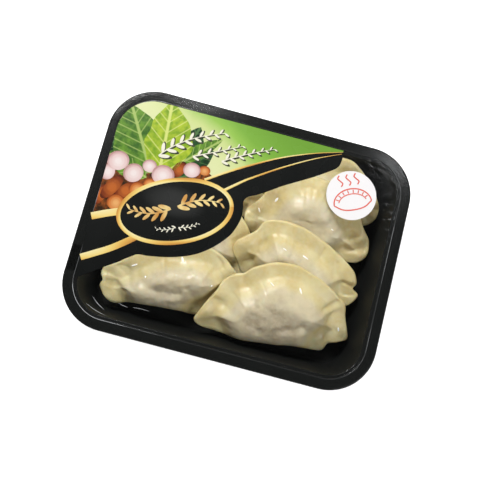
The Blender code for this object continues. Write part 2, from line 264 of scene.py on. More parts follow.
wall_top = FLANGE_WIDTH + WALL_TOP_ROUND
wall_foot = wall_top + WALL_SLOPE * (TRAY_HEIGHT - WALL_TOP_ROUND - TRAY_WALL)
panel_edge = wall_foot + 0.75 * FLOOR_FILLET + FOOT_RING_WIDTH
tray_profile = softened(
    [
        (0.0, TRAY_HEIGHT - LIP_DROP, 0),
        (0.0, TRAY_HEIGHT, LIP_ROUND),
        (SEAL_STEP_INSET, TRAY_HEIGHT, SEAL_STEP_ROUND),
        (SEAL_STEP_INSET + SEAL_STEP, TRAY_HEIGHT - SEAL_STEP, SEAL_STEP_ROUND),
        (FLANGE_WIDTH + SEAL_STEP_REACH, TRAY_HEIGHT - SEAL_STEP, WALL_TOP_ROUND),
        (wall_foot, TRAY_WALL, FLOOR_FILLET),
        (panel_edge, TRAY_WALL, FLOOR_PANEL_ROUNDS[0]),
        (panel_edge + FLOOR_PANEL_RAMP, TRAY_WALL + FLOOR_PANEL_RISE, FLOOR_PANEL_ROUNDS[1]),
        (panel_edge + FLOOR_PANEL_REACH, TRAY_WALL + FLOOR_PANEL_RISE, 0),
    ]
)
tray_loops = [[(x, y, z) for x, y in rounded_rectangle(inset)] for inset, z in tray_profile]

black_plastic = Finish("black_plastic", Specular_IOR_Level=0.16)
scuffs = black_plastic.noise(140, 4, 0.6, stretch=(1, 6, 1))
smears = black_plastic.noise(22, 3, 0.55)
matt = 1 - black_plastic.axis(2).between(TRAY_HEIGHT - 0.0020, TRAY_HEIGHT - 0.0008)
black_plastic.drive(
    Base_Color=black_plastic.blend(scuffs, TRAY_BLACK, tuple(1.5 * c for c in TRAY_BLACK)),
    Roughness=0.13 + 0.10 * smears + 0.05 * scuffs + 0.30 * matt,
)
black_plastic.bump(black_plastic.noise(900, 2) * 0.15 + smears, 0.00018, 0.25)

tray = placed("tray_shell", lofted("tray_shell", tray_loops), black_plastic.material)
wall = tray.modifiers.new("wall", "SOLIDIFY")
wall.thickness = TRAY_WALL
wall.offset = -1.0
wall.use_even_offset = True
finalised(tray)
tray.data.shade_smooth()
tray.data.set_sharp_from_angle(angle=SHARP_FROM)
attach(tray, "root")
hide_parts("tray")


# The dumplings. Rounds of boiled wheat dough folded over a filling, pressed shut along a flat
# rim and laid in two columns, each leaning on the one behind it. Every one starts as a flat
# half-moon, swells over its filling, and drapes over those that were laid before it.

AROUND = 230
LINE_STEPS = 10
RIM_RINGS = 20
BELLY_RINGS = 24
RIM_WIDTH = 0.0125
RIM_THICKNESS = 0.0034
RIM_EDGE_ROUND = 0.0013
RIM_RINGS_REACH = 0.015
BELLY_RISE_RUN = 0.0195
FOLD_ROUND_RUN = 0.0150
EAR_REACH = 0.024
MIDDLE_SHARE = 0.45
TOP_SIDE_SHARE = 1.06
LEAST_DOUGH = 0.002
MOST_LIFT = 0.012
TOUCH_GAP = 0.00025
FILM_CLEARANCE = 0.0005
ROOF_SOFTNESS = 0.002
ABOVE_ALL = 0.1
DOWN = Vector((0, 0, -1))

# The belly's uneven filling: size and height of its lumps, and what their noise starts from.
BELLY_LUMPS = ((0.013, 0.0011, 0), (0.0062, 0.00055, 40), (0.0030, 0.00022, 60))

# Outlines in each dumpling's own plane, in millimetres: the pinched rim from the right ear's
# underside over the top to the left ear's, then the fold from left to right.
FRONT_RIGHT_RIM = (
    (45, 8), (52, 10), (58, 13), (57, 19), (54, 29), (52, 38), (44, 46), (33, 54), (20, 60), (8, 63),
    (-5, 62), (-17, 57), (-24, 51), (-31, 49), (-38, 43), (-43, 34), (-48, 27), (-53, 18), (-55, 12),
    (-49, 7),
)
FRONT_RIGHT_FOLD = ((-38, 4), (-20, 1), (0, 1), (20, 2), (34, 1), (41, 2))
SECOND_RIGHT_RIM = (
    (43, 6), (48, 12), (50, 18), (45, 21), (46, 26), (42, 33), (33, 39), (20, 45), (6, 50), (-8, 53),
    (-22, 52), (-32, 48), (-36, 40), (-43, 33), (-48, 27), (-47, 19), (-42, 12),
)
SECOND_RIGHT_FOLD = ((-36, 5), (-20, 1), (0, 0), (20, 0), (34, 2))
THIRD_RIGHT_RIM = (
    (36, 5), (44, 8), (49, 15), (47, 25), (40, 33), (32, 42), (16, 52), (2, 57), (-12, 56), (-25, 50),
    (-36, 40), (-39, 31), (-43, 24), (-47, 17), (-46, 10),
)
THIRD_RIGHT_FOLD = ((-40, 3), (-28, -1), (-10, -1), (10, 0), (27, 2))
FRONT_LEFT_RIM = (
    (28, 5), (38, 11), (45, 21), (48, 30), (45, 39), (37, 47), (27, 53), (12, 55), (-4, 53),
    (-18, 47), (-30, 39), (-42, 31), (-50, 26), (-52, 21), (-50, 17), (-51, 12), (-47, 5),
)
FRONT_LEFT_FOLD = ((-39, 1), (-28, 3), (-10, 4), (6, 4), (19, 3))
SECOND_LEFT_RIM = (
    (48, 0), (56, 7), (57, 17), (53, 28), (48, 37), (38, 46), (24, 53), (6, 56), (-10, 55),
    (-26, 49), (-38, 39), (-46, 28), (-50, 18), (-48, 10),
)
SECOND_LEFT_FOLD = ((-38, 4), (-20, 1), (0, 0), (20, 1), (34, 3))
BACK_RIGHT_RIM = (
    (35, 3), (41, 10), (41, 20), (32, 33), (23, 41), (13, 48), (3, 49), (-8, 49), (-25, 46),
    (-39, 38), (-49, 27), (-52, 16), (-46, 8),
)
BACK_RIGHT_FOLD = ((-32, 3), (-14, 0), (8, 0), (25, 1))

# Laid from the bottom of the pile up. Each has its outline, the fold's middle and the height
# of its mid-plane there, its turn and tilt in degrees, its belly's thickness, its rim's waves,
# its ears' lift, how strongly its belly darkens where the filling shows through and where
# shade is painted on, and what marks its upper cheek: soft lumps (x, y, radius, height) and
# creases (from x, y to x, y, width, depth), in millimetres.
DUMPLINGS = {
    "dumpling_back_left": dict(
        rim=SECOND_LEFT_RIM, fold=SECOND_LEFT_FOLD, at=(-0.0460, 0.0190, 0.0108), turn=2.0, tilt=20.0,
        belly=0.0255, waves=4.5, start=1.9, ruffle=(0.0009, 0.0018), ears=(0.0010, -0.0020),
        seed=6, filling_and_shade_shown=1.0,
        lumps=((-15, 30, 9, 1.0), (12, 28, 10, 0.9)), creases=((-20, 40, -14, 34, 3, 0.8),),
    ),
    "dumpling_back_right": dict(
        rim=BACK_RIGHT_RIM, fold=BACK_RIGHT_FOLD, at=(0.0540, 0.0360, 0.0110), turn=0.0, tilt=32.0,
        belly=0.0215, waves=5.0, start=1.2, ruffle=(0.0008, 0.0016), ears=(0.0000, 0.0020),
        seed=5, filling_and_shade_shown=0.5,
        lumps=((0, 26, 10, 0.8),), creases=((24, 38, 20, 33, 3, 0.8),),
    ),
    "dumpling_second_left": dict(
        rim=SECOND_LEFT_RIM, fold=SECOND_LEFT_FOLD, at=(-0.0440, -0.0230, 0.0108), turn=-2.0, tilt=21.0,
        belly=0.0265, waves=5.0, start=0.2, ruffle=(0.0009, 0.0018), ears=(0.0000, -0.0010),
        seed=4, filling_and_shade_shown=0.9,
        lumps=((-12, 28, 9, 1.0), (14, 26, 9, 1.0)), creases=((30, 34, 36, 26, 4, 1.0),),
    ),
    "dumpling_front_left": dict(
        rim=FRONT_LEFT_RIM, fold=FRONT_LEFT_FOLD, at=(-0.0380, -0.0640, 0.0108), turn=4.0, tilt=22.0,
        belly=0.0265, waves=4.0, start=2.3, ruffle=(0.0008, 0.0018), ears=(0.0010, -0.0030),
        seed=3, filling_and_shade_shown=0.85,
        lumps=(
            (-28, 33, 6, 0.9), (-19, 27, 5, 1.4), (-10, 27, 5, 1.1), (-1, 30, 8, 1.0), (8, 26, 5, 1.2),
            (5, 43, 7, 0.7), (19, 38, 7, 0.7), (-28, 8, 7, 0.8), (-4, 13, 5, 0.7), (12, 17, 4, 0.6),
        ),
        creases=(
            (-51, 16, -40, 16, 3.6, 2.0), (-40, 16, -33, 13, 4.0, 1.3), (-42, 31, -34, 27, 4.0, 1.6),
            (-34, 27, -28, 18, 4.5, 1.5), (-18, 21, -9, 18, 6.5, 1.2), (-9, 18, 7, 19, 7.0, 1.3),
            (13, 25, 19, 15, 5.0, 1.2), (0, 10, 18, 12, 4.5, 1.1), (30, 49, 34, 42, 3.0, 1.0),
            (-8, 40, -6, 33, 3.0, 0.6),
        ),
    ),
    "dumpling_third_right": dict(
        rim=THIRD_RIGHT_RIM, fold=THIRD_RIGHT_FOLD, at=(0.0450, 0.0060, 0.0108), turn=-5.0, tilt=24.0,
        belly=0.0215, waves=4.0, start=0.9, ruffle=(0.0009, 0.0022), ears=(0.0030, 0.0015),
        seed=2, filling_and_shade_shown=0.1,
        lumps=(
            (30, 31, 6, 1.8), (39, 25, 5, 2.0), (42, 14, 6, 1.6), (-43, 18, 5, 1.2), (-41, 8, 5, 1.2),
            (-14, 32, 10, 0.8), (8, 30, 9, 0.8),
        ),
        creases=(
            (26, 20, 34, 27, 4.0, 2.2), (33, 14, 45, 19, 3.6, 2.2), (-44, 13, -36, 14, 2.6, 1.6),
            (-30, 44, -28, 30, 3.0, 1.0), (12, 47, 12, 40, 3.0, 0.7),
        ),
    ),
    "dumpling_second_right": dict(
        rim=SECOND_RIGHT_RIM, fold=SECOND_RIGHT_FOLD, at=(0.0440, -0.0280, 0.0108), turn=-4.0, tilt=25.0,
        belly=0.0265, waves=3.6, start=1.7, ruffle=(0.0007, 0.0014), ears=(0.0035, 0.0020),
        seed=1, filling_and_shade_shown=0.7,
        lumps=(
            (-38, 28, 9, 2.0), (31, 31, 6, 1.3), (40, 26, 5, 1.5), (2, 32, 8, 1.0), (-13, 33, 8, 0.9),
            (18, 27, 8, 0.9),
        ),
        creases=(
            (-32, 40, -28, 33, 4.5, 1.3), (-28, 33, -29, 24, 4.5, 1.8), (-29, 24, -38, 10, 5.0, 1.8),
            (-20, 49, -19, 42, 2.6, 0.7), (0, 46, 0, 39, 2.6, 0.7), (15, 42, 14, 35, 2.6, 0.8),
            (36, 24, 45, 23, 2.6, 1.4), (27, 36, 29, 28, 3.0, 0.9),
        ),
    ),
    "dumpling_front_right": dict(
        rim=FRONT_RIGHT_RIM, fold=FRONT_RIGHT_FOLD, at=(0.0385, -0.0670, 0.0110), turn=6.0, tilt=25.0,
        belly=0.0275, waves=3.8, start=0.3, ruffle=(0.0008, 0.0014), ears=(0.0060, -0.0010),
        seed=0, filling_and_shade_shown=1.0,
        lumps=(
            (-27, 38, 8, 0.5), (-4, 43, 9, 0.5), (16, 42, 8, 0.9), (10, 23, 8, 1.0), (24, 27, 7, 1.0),
            (-10, 17, 9, 0.9), (33, 36, 6, 1.0), (-45, 20, 7, 1.6), (47, 26, 8, 1.3),
        ),
        creases=(
            (-47, 34, -38, 27, 3.4, 1.5), (-38, 27, -31, 24, 4.5, 1.1), (-24, 52, -23, 44, 5.0, 1.0),
            (22, 55, 21, 47, 4.0, 0.5), (37, 35, 50, 43, 3.4, 1.7),
            (40, 14, 40, 30, 4.5, 1.0), (-20, 20, -8, 14, 7.0, 0.8), (-8, 14, 12, 17, 8.0, 0.9),
            (12, 17, 22, 22, 6.0, 0.8), (22, 22, 30, 17, 5.0, 0.8),
        ),
    ),
}


def smooth_line(points, steps=LINE_STEPS):
    """A closed Catmull-Rom line through the points, with that many steps between each two."""
    before = np.roll(points, 1, axis=0)
    after = np.roll(points, -1, axis=0)
    beyond = np.roll(points, -2, axis=0)
    stretches = []
    for t in np.arange(steps) / steps:
        bend = (2 * before - 5 * points + 4 * after - beyond) * t**2
        twist = (3 * points - before - 3 * after + beyond) * t**3
        stretches.append(0.5 * (2 * points + (after - before) * t + bend + twist))
    return np.stack(stretches, axis=1).reshape(-1, 2)


def nearest_on(places, line):
    """(distance, share of the way along the line) of each place's nearest point on an open line."""
    starts = line[:-1]
    runs = line[1:] - starts
    lengths = np.linalg.norm(runs, axis=1)
    along = np.concatenate(([0.0], np.cumsum(lengths)))
    offsets = places[:, None, :] - starts[None, :, :]
    shares = np.clip((offsets * runs).sum(axis=2) / lengths**2, 0.0, 1.0)
    gaps = np.linalg.norm(offsets - shares[:, :, None] * runs, axis=2)
    nearest = gaps.argmin(axis=1)
    rows = np.arange(len(places))
    return gaps[rows, nearest], (along[nearest] + shares[rows, nearest] * lengths[nearest]) / along[-1]


def ramp(low, high, values):
    """0 below low, 1 above high, and a smooth rise between."""
    share = np.clip((values - low) / (high - low), 0.0, 1.0)
    return share * share * (3.0 - 2.0 * share)


def rounded(distances, run):
    """A quarter circle's rise from 0 at no distance to 1 from run on."""
    return np.sqrt(1.0 - (1.0 - np.clip(distances / run, 0.0, 1.0)) ** 2)


def rough(places, size, seed):
    """Smooth noise from -1 to 1 at each flat place."""
    return np.array([noise.noise(Vector((x / size, y / size, 3.7 * seed))) for x, y in places])


def flat_rings(spec):
    """The rings of a dumpling's flat half-moon, from its middle point out to its outline."""
    closed = smooth_line(np.array(spec["rim"] + spec["fold"]) / 1000.0)
    looped = np.concatenate((closed, closed[:1]))
    along = np.concatenate(([0.0], np.cumsum(np.linalg.norm(np.diff(looped, axis=0), axis=1))))
    stops = np.arange(AROUND) / AROUND * along[-1]
    edge = np.stack([np.interp(stops, along, looped[:, axis]) for axis in (0, 1)], axis=1)
    edge += (edge - edge.mean(axis=0)) * (0.010 * rough(edge, 0.006, spec["seed"]))[:, None]
    middle = np.array([0.0, MIDDLE_SHARE * closed[:, 1].max()])
    rays = middle - edge
    reach = np.linalg.norm(rays, axis=1)
    rim_reach = np.minimum(RIM_RINGS_REACH, 0.6 * reach)
    rings = []
    for ring in range(RIM_RINGS + BELLY_RINGS + 1):
        if ring <= RIM_RINGS:
            inside = rim_reach * (ring / RIM_RINGS) ** 1.6
        else:
            inside = rim_reach + (reach - rim_reach) * (ring - RIM_RINGS) / BELLY_RINGS
        rings.append(edge + rays * (inside / reach)[:, None])
    return rings[::-1]


def marks_on(places, spec):
    """How far the lumps and creases of the upper cheek stand out of it or lie in it."""
    height = np.zeros(len(places))
    for x, y, radius, rise in spec["lumps"]:
        away = np.linalg.norm(places * 1000 - (x, y), axis=1) / radius
        height += rise * np.exp(-(away**2) * 1.3)
    wander = 0.9 * np.stack([rough(places, 0.007, spec["seed"] + n) for n in (20, 30)], axis=1)
    for x0, y0, x1, y1, width, depth in spec["creases"]:
        start = np.array((x0, y0))
        run = np.array((x1 - x0, y1 - y0))
        offsets = places * 1000 + wander - start
        share = np.clip(offsets @ run / (run @ run), 0, 1)
        away = np.linalg.norm(offsets - share[:, None] * run, axis=1) / (0.5 * width)
        height -= depth * np.exp(-(away**1.6))
    return height / 1000.0


def swollen(flat, spec):
    """(half thickness on top, below, rise of the mid-plane, rim share, filling share) at flat places."""
    rim_end = len(spec["rim"]) * LINE_STEPS - LINE_STEPS // 2
    closed = smooth_line(np.array(spec["rim"] + spec["fold"]) / 1000.0)
    rim_line = closed[:rim_end]
    fold_line = np.concatenate((closed[rim_end:], closed[:1]))
    to_rim, along = nearest_on(flat, rim_line)
    to_fold = nearest_on(flat, fold_line)[0]
    seed = spec["seed"]

    pinches = np.sin(math.pi * (11 * along + 1.1 * np.sin(9 * along + seed))) ** 2
    rim_width = RIM_WIDTH * (0.93 + 0.16 * rough(np.stack([along * 0.3, along * 0], 1), 0.028, seed + 9))
    rim_width = rim_width + 0.0005 * (1 - pinches) ** 2
    half_rim = RIM_THICKNESS / 2
    belly = spec["belly"] / 2
    risen = np.sin(math.pi / 2 * ramp(0.0, 1.0, (to_rim - 0.75 * rim_width) / BELLY_RISE_RUN))
    edge = rounded(to_rim, RIM_EDGE_ROUND)
    at_rim = half_rim * edge + (belly - half_rim) * risen
    round_fold = rounded(to_fold, FOLD_ROUND_RUN)
    thickness = at_rim * round_fold
    fullness = thickness / belly

    lumps = sum(height * rough(flat, size, seed + shift) for size, height, shift in BELLY_LUMPS)
    lumps = lumps * np.minimum(1, fullness * 2)
    pressed_band = ramp(0.002, 0.006, to_rim) * (1 - ramp(0.009, 0.016, to_rim))
    pressed = 0.00020 * (pinches**2 - 0.4) * pressed_band
    marked = marks_on(flat, spec) * ramp(0.0, 0.004, to_rim) * round_fold
    below = thickness * (2 - TOP_SIDE_SHARE) + lumps * 0.6
    above = np.maximum(thickness * TOP_SIDE_SHARE + lumps + pressed + marked, 0.55 * thickness)

    middle_height, ear_height = spec["ruffle"]
    height = middle_height + (ear_height - middle_height) * np.abs(2 * along - 1) ** 2
    near_rim = 1.0 - ramp(0.0, 1.5 * RIM_WIDTH, to_rim)
    swing = 2 * math.pi * spec["waves"] * along + spec["start"]
    wave = height * np.sin(swing + 0.7 * np.sin(1.3 * swing)) * near_rim
    wave += 0.00035 * near_rim**2 * np.sin(2.7 * swing + seed)
    half_length = np.abs(rim_line[:, 0]).max()
    left, right = spec["ears"]
    near_end = ramp(half_length - EAR_REACH, half_length, np.abs(flat[:, 0]))
    rise = wave + near_end * np.where(flat[:, 0] > 0, right, left)
    # Darker belly: partly the filling showing through the dough, partly painted shade over the belly's
    # middle, down towards the fold but not on its edge.
    filling = spec["filling_and_shade_shown"] * ramp(0.020, 0.036, to_rim) * ramp(0.004, 0.013, to_fold)
    return above, below, rise, 1 - ramp(0.3, 0.75, fullness), filling


def tray_inset(height):
    """How far the tray's inner face lies from the flange's outer edge at that height."""
    return wall_top + WALL_SLOPE * np.clip(TRAY_HEIGHT - WALL_TOP_ROUND - height, 0, None)


def kept_in_tray(points):
    """The points, moved clear of the tray's floor and walls and of the film."""
    x, y, z = points.T
    floor_height = TRAY_WALL + FLOOR_PANEL_RISE + TOUCH_GAP
    soft_roof = TRAY_HEIGHT - FILM_CLEARANCE - ROOF_SOFTNESS
    pressed_down = soft_roof + ROOF_SOFTNESS * np.tanh((z - soft_roof) / ROOF_SOFTNESS)
    z = np.maximum(np.where(z > soft_roof, pressed_down, z), floor_height)
    inset = tray_inset(z) + TOUCH_GAP
    radius = corner_radius(inset)
    core_x = TRAY_LENGTH / 2 - inset - radius
    core_y = TRAY_WIDTH / 2 - inset - radius
    over_x = np.maximum(0, np.abs(x) - core_x)
    over_y = np.maximum(0, np.abs(y) - core_y)
    shrink = np.minimum(1, radius / np.maximum(1e-9, np.hypot(over_x, over_y)))
    x = np.sign(x) * (np.minimum(np.abs(x), core_x) + over_x * shrink)
    y = np.sign(y) * (np.minimum(np.abs(y), core_y) + over_y * shrink)
    return np.stack([x, y, z], axis=1)


def eased(grid, rounds):
    """A ring-by-column grid of numbers, smoothed along both."""
    for _ in range(rounds):
        padded = np.concatenate((grid[:1], grid, grid[-1:]))
        across = (padded[:-2] + 2 * grid + padded[2:]) / 4
        grid = (np.roll(across, 1, axis=1) + 2 * across + np.roll(across, -1, axis=1)) / 4
    return grid


def lift_over(lower_cheek, laid):
    """How far each point of a dumpling's lower cheek has to rise to lie on those laid before it."""
    lift = np.zeros(lower_cheek.shape[:2])
    for ring, row in enumerate(lower_cheek):
        for column, point in enumerate(row):
            for tree in laid:
                hit = tree.ray_cast(Vector((point[0], point[1], ABOVE_ALL)), DOWN)[0]
                if hit is not None:
                    lift[ring, column] = max(lift[ring, column], hit.z + TOUCH_GAP - point[2])
    return lift


def draped(upper, lower, thick, laid):
    """Both cheeks, lifted onto the dumplings laid before: thin dough follows them, a belly sits."""
    lift = np.clip(lift_over(lower, laid), 0, MOST_LIFT)
    lift = eased(np.maximum(lift, eased(lift, 10)), 30)
    soft = ramp(0.004, 0.020, thick)
    squeezed = np.minimum(lift * 0.75 * soft, np.maximum(thick - LEAST_DOUGH, 0))
    carried = lift - squeezed
    carried = eased(carried, 30) * (1 - soft) + eased(carried, 120) * soft
    upper, lower = upper.copy(), lower.copy()
    lower[:, :, 2] += lift
    upper[:, :, 2] += carried
    upper[:, :, 2] = np.maximum(upper[:, :, 2], lower[:, :, 2] + np.minimum(thick, LEAST_DOUGH))
    return upper, lower


def dumpling_mesh(name, spec, laid):
    """One dumpling as a closed mesh, with its rim share and filling share kept as attributes."""
    rings = flat_rings(spec)
    count = len(rings)
    flat = np.concatenate(rings)
    above, below, rise, rim_share, filling_and_shade_share = swollen(flat, spec)
    turn = Matrix.Rotation(math.radians(spec["turn"]), 3, "Z")
    tilt = Matrix.Rotation(math.radians(spec["tilt"]), 3, "X")
    matrix = np.array(turn @ tilt)
    cheeks = []
    for height in (rise + above, rise - below):
        points = np.column_stack((flat, height)) @ matrix.T + np.array(spec["at"])
        cheeks.append(points.reshape(count, AROUND, 3))
    upper, lower = cheeks
    if laid:
        upper, lower = draped(upper, lower, (above + below).reshape(count, AROUND), laid)
    edge = 0.5 * (upper[-1] + lower[-1])
    loops = [upper[r] for r in range(1, count - 1)] + [edge] + [lower[r] for r in range(count - 2, 0, -1)]
    points = np.concatenate([upper[0].mean(axis=0)[None]] + loops + [lower[0].mean(axis=0)[None]])
    points = kept_in_tray(points)
    shape = bmesh.new()
    verts = [shape.verts.new(p) for p in points]
    rows = [verts[1 + AROUND * n : 1 + AROUND * (n + 1)] for n in range(len(loops))]
    for i in range(AROUND):
        j = (i + 1) % AROUND
        shape.faces.new((verts[0], rows[0][i], rows[0][j]))
        shape.faces.new((verts[-1], rows[-1][j], rows[-1][i]))
        for first, second in zip(rows, rows[1:]):
            shape.faces.new((first[i], second[i], second[j], first[j]))
    bmesh.ops.recalc_face_normals(shape, faces=shape.faces)
    shape.normal_update()
    tree = BVHTree.FromBMesh(shape)
    mesh = bpy.data.meshes.new(name)
    shape.to_mesh(mesh)
    shape.free()
    order = list(range(1, count)) + list(range(count - 2, 0, -1))
    for attribute, shares in (("rim", rim_share), ("filling", filling_and_shade_share)):
        grid = shares.reshape(count, AROUND)
        values = np.concatenate([grid[0, :1]] + [grid[r] for r in order] + [grid[0, :1]])
        mesh.attributes.new(attribute, "FLOAT", "POINT").data.foreach_set("value", values.astype(np.float32))
    return mesh, tree


dough = Finish(
    "boiled_dough",
    Subsurface_Weight=0.35,
    Subsurface_Radius=(0.9, 0.55, 0.28),
    Subsurface_Scale=0.006,
    Coat_Roughness=0.26,
    Specular_IOR_Level=0.40,
)
rim_share = dough.attribute("rim")
clouds = dough.noise(60, 3, 0.55).between(0.35, 0.68)
# Painted shade in part: the belly turns grey-brown where the filling shows through and where shade falls on
# it.
filling = dough.noise(95, 3, 0.6).between(0.48, 0.74) * 0.35 + dough.attribute("filling") * 0.65
fine = dough.noise(420, 4, 0.6)
belly_colour = dough.blend(clouds, (0.68, 0.59, 0.385), (0.77, 0.69, 0.475))
belly_colour = dough.blend(filling, belly_colour, (0.435, 0.358, 0.245))
rim_colour = dough.blend(clouds, (0.715, 0.592, 0.276), (0.805, 0.71, 0.40))
golden = dough.noise(40, 2).between(0.50, 0.68) * 0.6
rim_colour = dough.blend(golden, rim_colour, (0.64, 0.50, 0.225))
dough_colour = dough.blend(rim_share, belly_colour, rim_colour)
dough.drive(
    Base_Color=dough.blend(fine.between(0.4, 0.7) * 0.2, dough_colour, (0.83, 0.775, 0.58)),
    Roughness=0.30 + 0.22 * dough.noise(160, 3).between(0.35, 0.7),
    Coat_Weight=0.03 + 0.14 * dough.noise(60, 2).between(0.50, 0.66),
)
dough.bump(fine + dough.noise(150, 3) * 1.5, 0.00030, 0.5)

laid = []
for name, spec in DUMPLINGS.items():
    mesh, tree = dumpling_mesh(name + "_soft", spec, laid)
    laid.append(tree)
    dumpling = placed(name + "_soft", mesh, dough.material)
    mesh.shade_smooth()
    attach(dumpling, "root")
    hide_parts(name)


# The moisture. Low beads of cooking water that cling to the dumplings' upper cheeks and catch the
# light; each is a flattened drop laid on the dough along its own normal. Their near-white colour
# and faint glow are painted highlights.

BEAD_RISE = 0.0009

# Each bead's place, length and width in millimetres, and its heading in degrees.
BEADS = (
    (30.8, -27.0, 4.4, 1.0, 106), (51.6, -26.6, 5.2, 1.4, -46), (86.4, -44.4, 3.6, 1.3, 106),
    (49.5, -1.3, 5.4, 1.4, -14), (33.6, 0.0, 3.2, 1.0, 0), (19.4, 36.8, 4.6, 1.8, 72),
    (8.8, 26.4, 4.0, 1.2, 106), (-68.6, -37.5, 5.0, 1.4, 36), (-35.9, -25.3, 4.6, 1.8, 46),
    (-58.5, -44.2, 1.8, 1.1, 16), (-10.7, -38.7, 1.8, 1.2, 16), (64.0, 24.0, 2.2, 0.9, 80),
)

# Painted highlight: a near-white colour and a faint glow of their own make the beads shine.
moisture_painted_glint = Finish("moisture_painted_glint", Coat_Weight=1.0, Coat_Roughness=0.08, Emission_Strength=0.22)
cloudy = moisture_painted_glint.noise(400, 2)
gleam = moisture_painted_glint.blend(cloudy, (0.93, 0.90, 0.82), (1.0, 0.99, 0.95))
moisture_painted_glint.drive(Base_Color=gleam, Emission_Color=gleam, Roughness=0.10 + 0.10 * cloudy)
drops = bmesh.new()
for x, y, length, width, heading in BEADS:
    above = Vector((x / 1000, y / 1000, ABOVE_ALL))
    hits = [tree.ray_cast(above, DOWN)[:2] for tree in laid]
    spot, normal = max((hit for hit in hits if hit[0] is not None), key=lambda hit: hit[0].z)
    upright = normal.to_track_quat("Z", "Y").to_matrix()
    swung = upright @ Matrix.Rotation(math.radians(heading), 3, "Z")
    scaled = swung @ Matrix.Diagonal((length / 1000, width / 1000, BEAD_RISE))
    bmesh.ops.create_uvsphere(
        drops, u_segments=20, v_segments=12, radius=0.5, matrix=Matrix.Translation(spot) @ scaled.to_4x4()
    )
bead_mesh = bpy.data.meshes.new("moisture_beads")
drops.to_mesh(bead_mesh)
drops.free()
beads = placed("moisture_beads", bead_mesh, moisture_painted_glint.material)
bead_mesh.shade_smooth()
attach(beads, "root")


# The lidding film. Clear polypropylene welded to the flange and drawn tight, with small puckers
# along the weld where the label doesn't hold it flat. It is lofted as a thin sheet from many rings.

FILM_THICKNESS = 0.00010
FILM_INSET = 0.0012
FILM_HEIGHT = TRAY_HEIGHT + 0.00010
FILM_SHINE = 0.26
WELD_END = 0.0065
HELD_SLOPE = 0.9
HELD_BEHIND = -0.055
PUCKER_HEIGHT = 0.00042
PUCKER_BAND = (0.0085, 0.0170)
PUCKERS_PER_METRE = (210, 520)
SLACK_HEIGHT = 0.00010
SLACK_WAVES_PER_METRE = 26
SIDE_DIVISIONS = (150, 110)


def film_height(x, y):
    """The film's height at a point: flat on the weld and under the label, puckered beside it."""
    from_edge = min(TRAY_LENGTH / 2 - abs(x), TRAY_WIDTH / 2 - abs(y))
    held = min(1.0, max(0.0, (HELD_SLOPE * y - x + 0.005) / 0.010)) if y > HELD_BEHIND else 0.0
    puckered = math.exp(-(((from_edge - PUCKER_BAND[0]) / (PUCKER_BAND[1] - PUCKER_BAND[0])) ** 2))
    puckered *= min(1.0, max(0.0, (from_edge - WELD_END) / 0.002))
    place = Vector((x, y, 0.0))
    wide, fine = PUCKERS_PER_METRE
    creases = abs(noise.noise(place * wide + Vector((0, 0, 2))))
    creases += 0.4 * noise.noise(place * fine + Vector((0, 0, 5)))
    slack = SLACK_HEIGHT * (1 + noise.noise(place * SLACK_WAVES_PER_METRE + Vector((0, 0, 9))))
    return FILM_HEIGHT + (1 - held) * (PUCKER_HEIGHT * max(0.0, creases) * puckered + slack)


def film_ring(inset):
    """One ring of the film, its straight sides divided as finely as its puckers need."""
    corners = rounded_rectangle(inset, 14).reshape(4, 15, 2)
    ring = []
    for corner, (points, following) in enumerate(zip(corners, np.roll(corners, -1, axis=0))):
        count = SIDE_DIVISIONS[corner % 2]
        side = points[-1] + (following[0] - points[-1]) * np.linspace(0, 1, count + 1)[1:-1, None]
        ring += [tuple(p) for p in points] + [tuple(p) for p in side]
    return [(x, y, film_height(x, y)) for x, y in ring]


clear_film = Finish("clear_film", Base_Color=(0.9, 0.92, 0.94, 1), Metallic=1.0, Roughness=0.14)
facing = clear_film.node("Fresnel", None, {"IOR": 1.45})
clear_film.drive(Alpha=FILM_SHINE * facing)
film_insets = np.concatenate((np.linspace(FILM_INSET, 0.024, 26), np.linspace(0.027, 0.078, 18)))
film_mesh = lofted("film_sheet", [film_ring(inset) for inset in film_insets])
film = placed("film_sheet", film_mesh, clear_film.material)
film_wall = film.modifiers.new("thickness", "SOLIDIFY")
film_wall.thickness = FILM_THICKNESS
film_wall.offset = -1.0
finalised(film)
film.data.shade_smooth()
film.data.set_sharp_from_angle(angle=SHARP_FROM)
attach(film, "root")
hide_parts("film")


# The label. Glossy black print cut along the back left corner and round its oval, with a green
# field above it. Each colour is a thin closed layer of ink, and a higher level lies on a lower.

LABEL_BASE = TRAY_HEIGHT + 0.00050
INK_STEP = 0.00003
INK_THICKNESS = 0.00002
PRINT_WHITE = 0.80
LABEL_LEFT = -0.1068
LABEL_BACK = 0.0815
LABEL_RADIUS = 0.0265
LABEL_FOOT = (-0.1046, -0.0590)
LABEL_TIP = (0.0575, LABEL_BACK)
LEAST_STEP = 0.000002
FIELD_LEVEL = 1
FIELD_FADE = (0.479, 0.878)
OVAL_CENTRE = (-0.0495, 0.0056)
OVAL_SIZE = (0.0421, 0.0243)
OVAL_TURN = 21.8
OVAL_RIM = 0.0029
OVAL_GLEAM = (-0.052, 0.012)
OVAL_GLEAM_FALL = (1600, 6000)


def screen(red, green, blue):
    """The linear colour of a print tone given as screen values from 0 to 255."""
    shares = (red / 255, green / 255, blue / 255)
    return tuple(PRINT_WHITE * (c / 12.92 if c <= 0.04045 else ((c + 0.055) / 1.055) ** 2.4) for c in shares)


def arc(centre, radius, start, end, steps=24):
    """Points of an arc, angles in degrees."""
    angles = np.radians(np.linspace(start, end, steps + 1))
    return [(centre[0] + radius * math.cos(a), centre[1] + radius * math.sin(a)) for a in angles]


